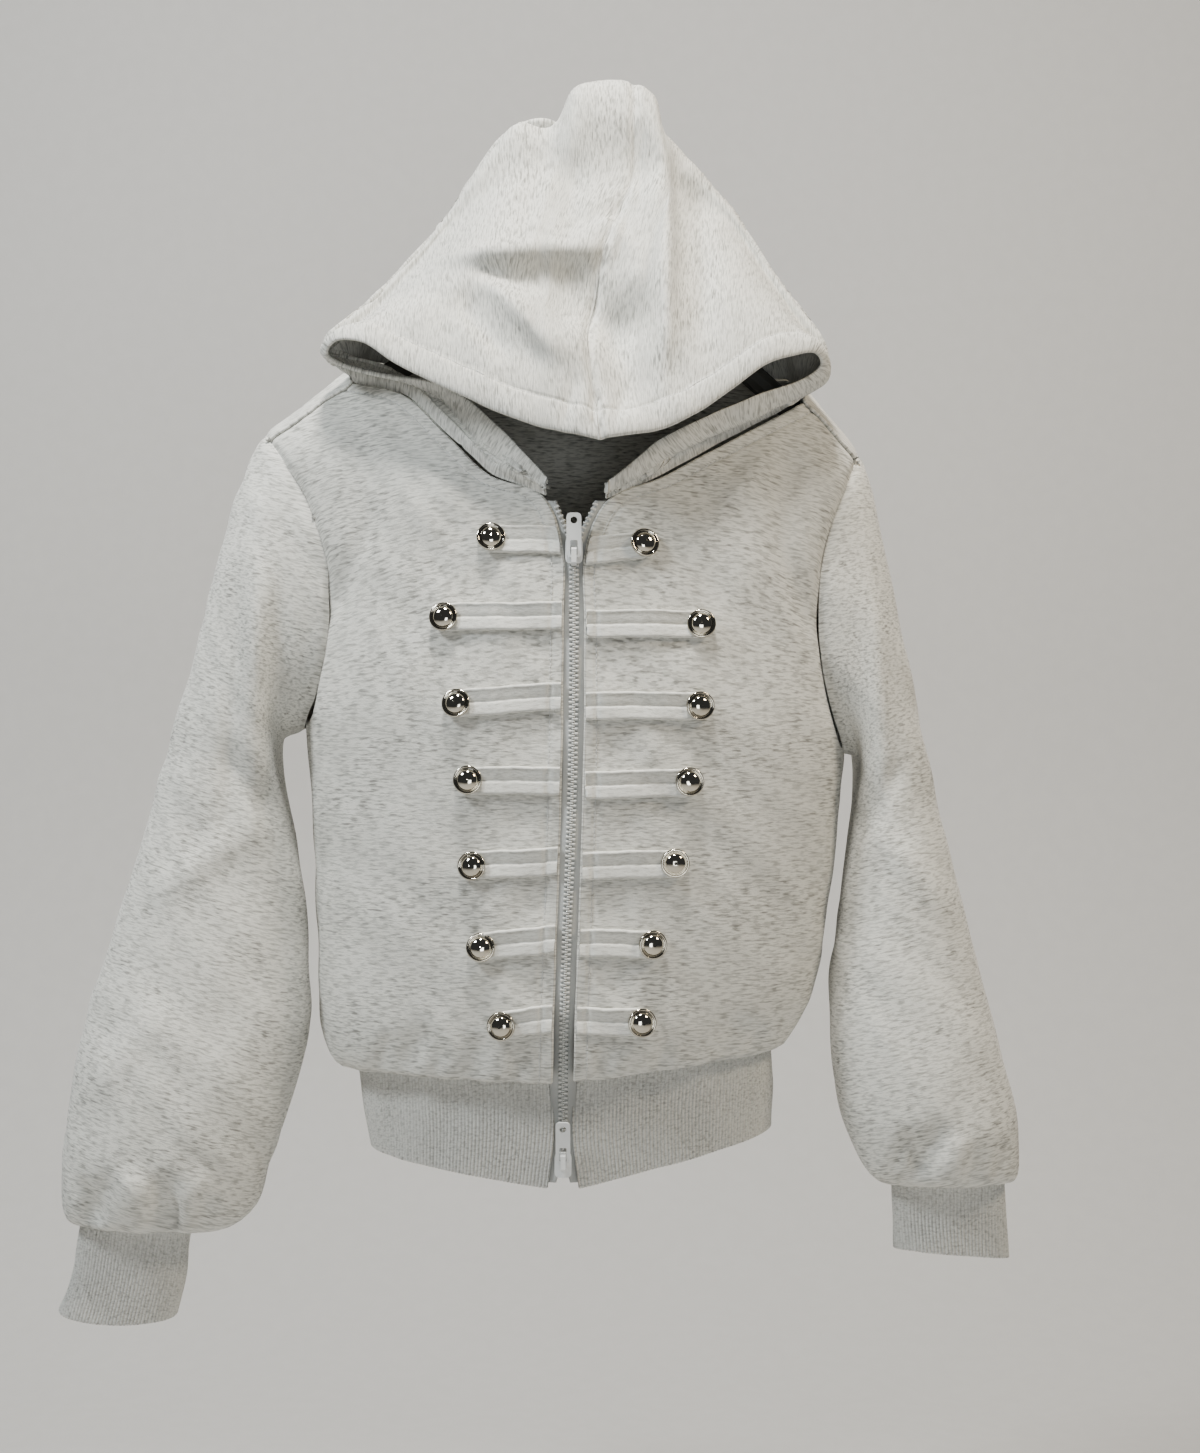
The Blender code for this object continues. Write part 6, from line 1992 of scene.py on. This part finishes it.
class Graph:
    """A short way to write a material's nodes.

    Attributes:
        material: The material.
        shader: Its Principled shader.
    """

    def __init__(self, name: str) -> None:
        """Make a material with a Principled shader.

        Args:
            name: The material's name.
        """
        self.material = bpy.data.materials.new(name)
        self.material.use_nodes = True
        self.tree = self.material.node_tree
        self.shader = self.tree.nodes["Principled BSDF"]

    def add(self, kind: str, inputs: dict | None = None, **settings) -> bpy.types.Node:
        """Add a node.

        Args:
            kind: The node's type, without "ShaderNode".
            inputs: Values or output sockets by input name or number.
            **settings: The node's own properties.

        Returns:
            The node.
        """
        node = self.tree.nodes.new("ShaderNode" + kind)
        for name, value in settings.items():
            setattr(node, name, value)
        for name, value in (inputs or {}).items():
            self.feed(node, name, value)
        return node

    def feed(self, node: bpy.types.Node, name: str | int, value) -> None:
        """Set or link one input.

        Args:
            node: The node.
            name: The input's name or number.
            value: A value, or the output socket to link.
        """
        if isinstance(value, bpy.types.NodeSocket):
            self.tree.links.new(value, node.inputs[name])
        else:
            node.inputs[name].default_value = value

    def maths(self, operation: str, *values, clamp: bool = False) -> bpy.types.NodeSocket:
        """Add a Math node.

        Args:
            operation: Its operation.
            *values: Its inputs.
            clamp: Whether it is kept in 0..1.

        Returns:
            Its output.
        """
        node = self.add("Math", dict(enumerate(values)), operation=operation,
                        use_clamp=clamp)
        return node.outputs[0]

    def mix(self, share, first, second) -> bpy.types.NodeSocket:
        """Mix two colours.

        Args:
            share: How much of the second.
            first: The first colour.
            second: The second colour.

        Returns:
            The mixed colour.
        """
        node = self.add("Mix", data_type="RGBA")
        for place, value in ((0, share), (6, first), (7, second)):
            self.feed(node, place, value)
        return node.outputs[2]

    def ramp(self, value, low: float, high: float) -> bpy.types.NodeSocket:
        """Ease a value from 0 at low to 1 at high.

        Args:
            value: The value's socket.
            low: Where it starts.
            high: Where it ends.

        Returns:
            The eased value.
        """
        node = self.add("MapRange", {0: value, 1: low, 2: high},
                        interpolation_type="SMOOTHSTEP")
        return node.outputs[0]

    def finished(self, inputs: dict, strength: float, depth: float,
                 height: bpy.types.NodeSocket) -> bpy.types.Material:
        """Feed the shader, with a bump for its normal.

        Args:
            inputs: Values or sockets by the shader's input names.
            strength: The bump's strength.
            depth: How deep it is, in metres.
            height: Its height.

        Returns:
            The material.
        """
        bump = self.add("Bump", {"Strength": strength, "Distance": depth, "Height": height})
        for name, value in {**inputs, "Normal": bump.outputs[0]}.items():
            self.feed(self.shader, name, value)
        return self.material


def rgba(colour: tuple[float, float, float]) -> tuple[float, float, float, float]:
    """Add the alpha to a colour."""
    return (*colour, 1.0)


def knit_material(look: Knit) -> bpy.types.Material:
    """Make a heather knit: streaks of three sizes along the cloth's u, mottling and nap.

    Args:
        look: The knit's look.

    Returns:
        The material.
    """
    graph = Graph(look.name)
    uv = graph.add("UVMap", uv_map="UVMap").outputs[0]

    def streaks(long: float, short: float, low: float, high: float, detail: float,
                turn: float = 0.0) -> bpy.types.NodeSocket:
        place = graph.add("Mapping", {
            0: uv, 3: (1.0 / long, 1.0 / short, 1.0), 2: (0.0, 0.0, turn)}).outputs[0]
        noise = graph.add("TexNoise", {
            "Vector": place, "Scale": 1.0, "Detail": detail, "Roughness": 0.55,
            "Distortion": 0.0}, noise_dimensions="2D")
        return graph.ramp(noise.outputs[0], low, high)

    dark = 0.0
    for one in STREAKS:
        shown = streaks(look.long * one.long, look.short * one.short, one.low, one.high,
                        1.0, one.turn)
        dark = graph.maths("MULTIPLY_ADD", shown, one.weight, dark)
    dense = graph.maths("MULTIPLY_ADD", streaks(*CLOUD), *CLOUD_SHADE)
    dark = graph.maths("MULTIPLY", graph.maths("MULTIPLY", dark, dense), look.amount,
                       clamp=True)
    nap = graph.add("TexNoise", {
        "Vector": graph.add("Mapping", {0: uv, 3: NAP_WAVES}).outputs[0],
        "Scale": 1.0, "Detail": 2.0, "Roughness": 0.6}, noise_dimensions="2D").outputs[0]
    return graph.finished({
        **KNIT_SHADER, "Base Color": graph.mix(dark, rgba(look.base), rgba(look.streak)),
    }, look.grain, NAP_DEPTH, nap)


def hard_material(look: Hard) -> bpy.types.Material:
    """Make a hard finish with faint mottling, wear in its gloss and fine grain.

    Args:
        look: The finish.

    Returns:
        The material.
    """
    graph = Graph(look.name)
    place = graph.add("TexCoord").outputs["Object"]
    slow, quick = (
        graph.add("TexNoise", {
            "Vector": place, "Scale": waves, "Detail": detail}).outputs[0]
        for waves, detail in ((MOTTLE_WAVES, 3.0), (look.grain_scale, 2.0)))
    dark = rgba(tuple(part * (1.0 - look.mottle) for part in look.colour))
    wear, rest = (look.roughness * share for share in GLOSS_WEAR)
    return graph.finished({
        "Base Color": graph.mix(graph.ramp(slow, 0.35, 0.65), rgba(look.colour), dark),
        "Roughness": graph.maths("MULTIPLY_ADD", slow, wear, rest),
        "Metallic": look.metallic, "Coat Weight": look.coat,
    }, look.grain, GRAIN_DEPTH, quick)


# ---- studio --------------------------------------------------------------------------


@dataclass(frozen=True)
class Lamp:
    """An area light: where it is, what it looks at, its size, power and colour."""

    name: str
    place: tuple[float, float, float]
    target: tuple[float, float, float]
    size: float
    power: float
    colour: tuple[float, float, float]


LAMPS = (
    Lamp("Key", (-1.35, -0.80, 0.95), (0.0, 0.0, -0.35), 0.4, 26.0, (0.90, 0.96, 1.0)),
    Lamp("Fill", (1.35, -0.70, 0.80), (0.05, 0.0, -0.25), 0.4, 14.0, (1.0, 0.86, 0.66)),
    Lamp("Top", (-0.08, -0.48, 1.25), (0.0, 0.0, -0.4), 0.25, 31.0, (1.0, 0.98, 0.94)),
    Lamp("Front", (0.2, -2.3, -0.6), (0.0, 0.0, -0.4), 0.8, 8.5, (0.93, 0.97, 1.0)),
)
FLOOR_Z = -1.02
WALL_Y = 1.3
FLOOR_HALF, FLOOR_COLUMNS = 3.2, 9
FLOOR_FRONT = (-3.4, -1.5)  # y of the floor's flat rows
FLOOR_BEND, BEND_ROWS = 0.7, 13  # how it curves up into the backdrop
WALL_TOP = 3.2
WORLD_COLOUR, WORLD_STRENGTH = (0.78, 0.82, 0.86, 1.0), 0.08
CAMERA_PLACE = (-0.0038, -1.5, -0.385)
PHOTO_SIZE = (1200, 1453)
PHOTO_DISTANCE = 2344.0     # of the camera, in photo pixels


def aim(obj: bpy.types.Object, place: Row, target: Row) -> None:
    """Put an object at a place, looking at a target.

    Args:
        obj: A light or camera.
        place: Where it goes.
        target: What it looks at.
    """
    obj.location = place
    look = Vector(target) - Vector(place)
    obj.rotation_euler = look.to_track_quat("-Z", "Y").to_euler()


def one_sided(material: bpy.types.Material) -> bpy.types.Material:
    """Let a view from behind the backdrop see through it.

    Args:
        material: The backdrop's material.

    Returns:
        The material, clear on its faces' backs.
    """
    tree = material.node_tree
    mix = tree.nodes.new("ShaderNodeMixShader")
    back = tree.nodes.new("ShaderNodeNewGeometry").outputs["Backfacing"]
    clear = tree.nodes.new("ShaderNodeBsdfTransparent").outputs[0]
    for place, socket in enumerate((back, tree.nodes["Principled BSDF"].outputs[0], clear)):
        tree.links.new(socket, mix.inputs[place])
    tree.links.new(mix.outputs[0], tree.nodes["Material Output"].inputs["Surface"])
    return material


def build_studio() -> None:
    """Make the pale floor that curves up into a backdrop, the lights and the camera."""
    across = np.linspace(-FLOOR_HALF, FLOOR_HALF, FLOOR_COLUMNS)
    turn = np.linspace(0.0, math.pi / 2.0, BEND_ROWS)
    run_y = np.concatenate([
        FLOOR_FRONT, WALL_Y - FLOOR_BEND + FLOOR_BEND * np.sin(turn), [WALL_Y]])
    run_z = np.concatenate([
        [FLOOR_Z, FLOOR_Z], FLOOR_Z + FLOOR_BEND - FLOOR_BEND * np.cos(turn), [WALL_TOP]])
    grid = np.stack(np.broadcast_arrays(across, run_y[:, None], run_z[:, None]), -1) / MM
    floor = make_mesh("Floor", grid.reshape(-1, 3),
                      grid_quads(len(run_y), FLOOR_COLUMNS, False))
    floor.data.materials.append(one_sided(hard_material(FLOOR)))
    if floor.data.polygons[0].normal.z < 0.0:
        floor.data.flip_normals()
    for lamp in LAMPS:
        data = bpy.data.lights.new(lamp.name, "AREA")
        data.size, data.energy, data.color = lamp.size, lamp.power, lamp.colour
        aim(link(lamp.name, data), lamp.place, lamp.target)
    world = bpy.data.worlds.new("Studio")
    world.use_nodes = True
    background = world.node_tree.nodes["Background"].inputs
    background[0].default_value = WORLD_COLOUR
    background[1].default_value = WORLD_STRENGTH
    scene = bpy.context.scene
    scene.world = world
    scene.view_settings.view_transform = "AgX"
    scene.view_settings.look = "AgX - Medium High Contrast"
    camera = bpy.data.cameras.new("Camera")
    camera.sensor_fit = "HORIZONTAL"
    camera.angle = 2.0 * math.atan(PHOTO_SIZE[0] / 2.0 / PHOTO_DISTANCE)
    scene.camera = link("Camera", camera)
    scene.camera.location = CAMERA_PLACE
    scene.camera.rotation_euler = (math.radians(90.0), 0.0, 0.0)
    scene.render.resolution_x, scene.render.resolution_y = PHOTO_SIZE


# ---- main ----------------------------------------------------------------------------


def dress(obj: bpy.types.Object, material: bpy.types.Material, slot: Slot,
          *nodes: str) -> bpy.types.Object:
    """Give a piece its material and its body, and hide the CAD nodes that it stands for.

    Args:
        obj: The piece.
        material: Its material.
        slot: The record's slot. Not used.
        *nodes: CAD nodes that it replaces.

    Returns:
        The piece.
    """
    obj.data.materials.append(material)
    if nodes:
        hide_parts(*nodes)
    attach(obj, "garment")
    return obj


GRAINS = {"hood": Grain.DOWN, "front": Grain.LEVEL, "back": Grain.LEVEL}
BRIM_EASE = (2.0, 8.0)      # how far past the brim its wall thins, and over how far
SHOWN_NODES = {"hanger": "black", "slider": "paint", "pull": "paint"}
BEVEL = 0.00025


def build_cloth(garment: Garment, materials: dict[str, bpy.types.Material]) -> None:
    """Args:
        garment: The garment.
        materials: Materials by name.
    """
    for name, face in garment.faces.items():
        kind = kind_of(name)
        is_rib = kind in ("cuff", "hem")
        wall = SIZE.rib_wall if is_rib else SIZE.wall
        if kind == "hood":
            past, ease = BRIM_EASE
            near = smooth_step(
                (SIZE.brim_width + past - face.edge_distance("top")) / ease)
            wall = SIZE.hood_wall + (SIZE.brim_wall - SIZE.hood_wall) * near
        obj = wall_object(f"{name}_cloth", face, wall, GRAINS.get(kind, Grain.ROUND),
                          RIB_LINING if is_rib else 1)
        look, slot = ("rib", Slot.RIB) if is_rib else ("heather", Slot.HEATHER)
        dress(obj, materials[look], slot, name)
        LOG.info("%s: %d x %d points", name, *face.points.shape[:2])


def build_trims(garment: Garment, materials: dict[str, bpy.types.Material]) -> None:
    """Make straps, buttons, zip and stitches.

    Args:
        garment: The garment.
        materials: Materials by name.
    """
    for side, word, straps in ((-1.0, "left", LEFT_STRAPS), (1.0, "right", RIGHT_STRAPS)):
        node = f"front_{word}"
        panel = garment.faces[node]
        for number, strap in enumerate(straps.values(), 1):
            obj = strap_object(f"strap_cloth_{word}_{number}", panel, side, strap)
            dress(obj, materials["strap"], Slot.HEATHER, f"strap_{word}_{number}")
            button = button_object(f"button_dome_{word}_{number}", panel, *strap[1:])
            dress(button, materials["nickel"], Slot.NICKEL, f"button_{word}_{number}")
        tape = tape_object(garment, f"zip_tape_{word}", node, side)
        dress(tape, materials["tape"], Slot.ZIP, f"zip_{word}")
        dress(teeth_object(f"zip_teeth_{word}", side), materials["teeth"], Slot.ZIP)
        sewn = stitches(f"stitches_{word}", (
            line_beside(panel, "first", SIZE.stitch_inset),
            line_beside(garment.faces[f"hood_{word}"], "top", SIZE.brim_width)))
        dress(sewn, materials["thread"], Slot.HEATHER)


def dress_frame(frame: dict, materials: dict[str, bpy.types.Material]) -> None:
    """Paint the CAD nodes that are shown as they are.

    Args:
        materials: Materials by name.
    """
    for name, obj in frame["nodes"].items():
        look = SHOWN_NODES.get(kind_of(name))
        if look is None:
            continue
        obj.data.materials.clear()
        obj.data.materials.append(materials[look])
        bevel = obj.modifiers.new("Soft edges", "BEVEL")
        bevel.width, bevel.segments, bevel.limit_method = BEVEL, 2, "ANGLE"


def main() -> None:
    """Build the scene."""
    logging.basicConfig(level=logging.INFO, format="%(message)s")
    for obj in list(bpy.data.objects):
        bpy.data.objects.remove(obj, do_unlink=True)
    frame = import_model()
    materials = {name: knit_material(look) for name, look in KNITS.items()}
    materials.update((name, hard_material(look)) for name, look in FINISHES.items())
    garment = Garment()
    build_cloth(garment, materials)
    build_trims(garment, materials)
    dress_frame(frame, materials)
    build_studio()


if __name__ == "__main__":
    main()
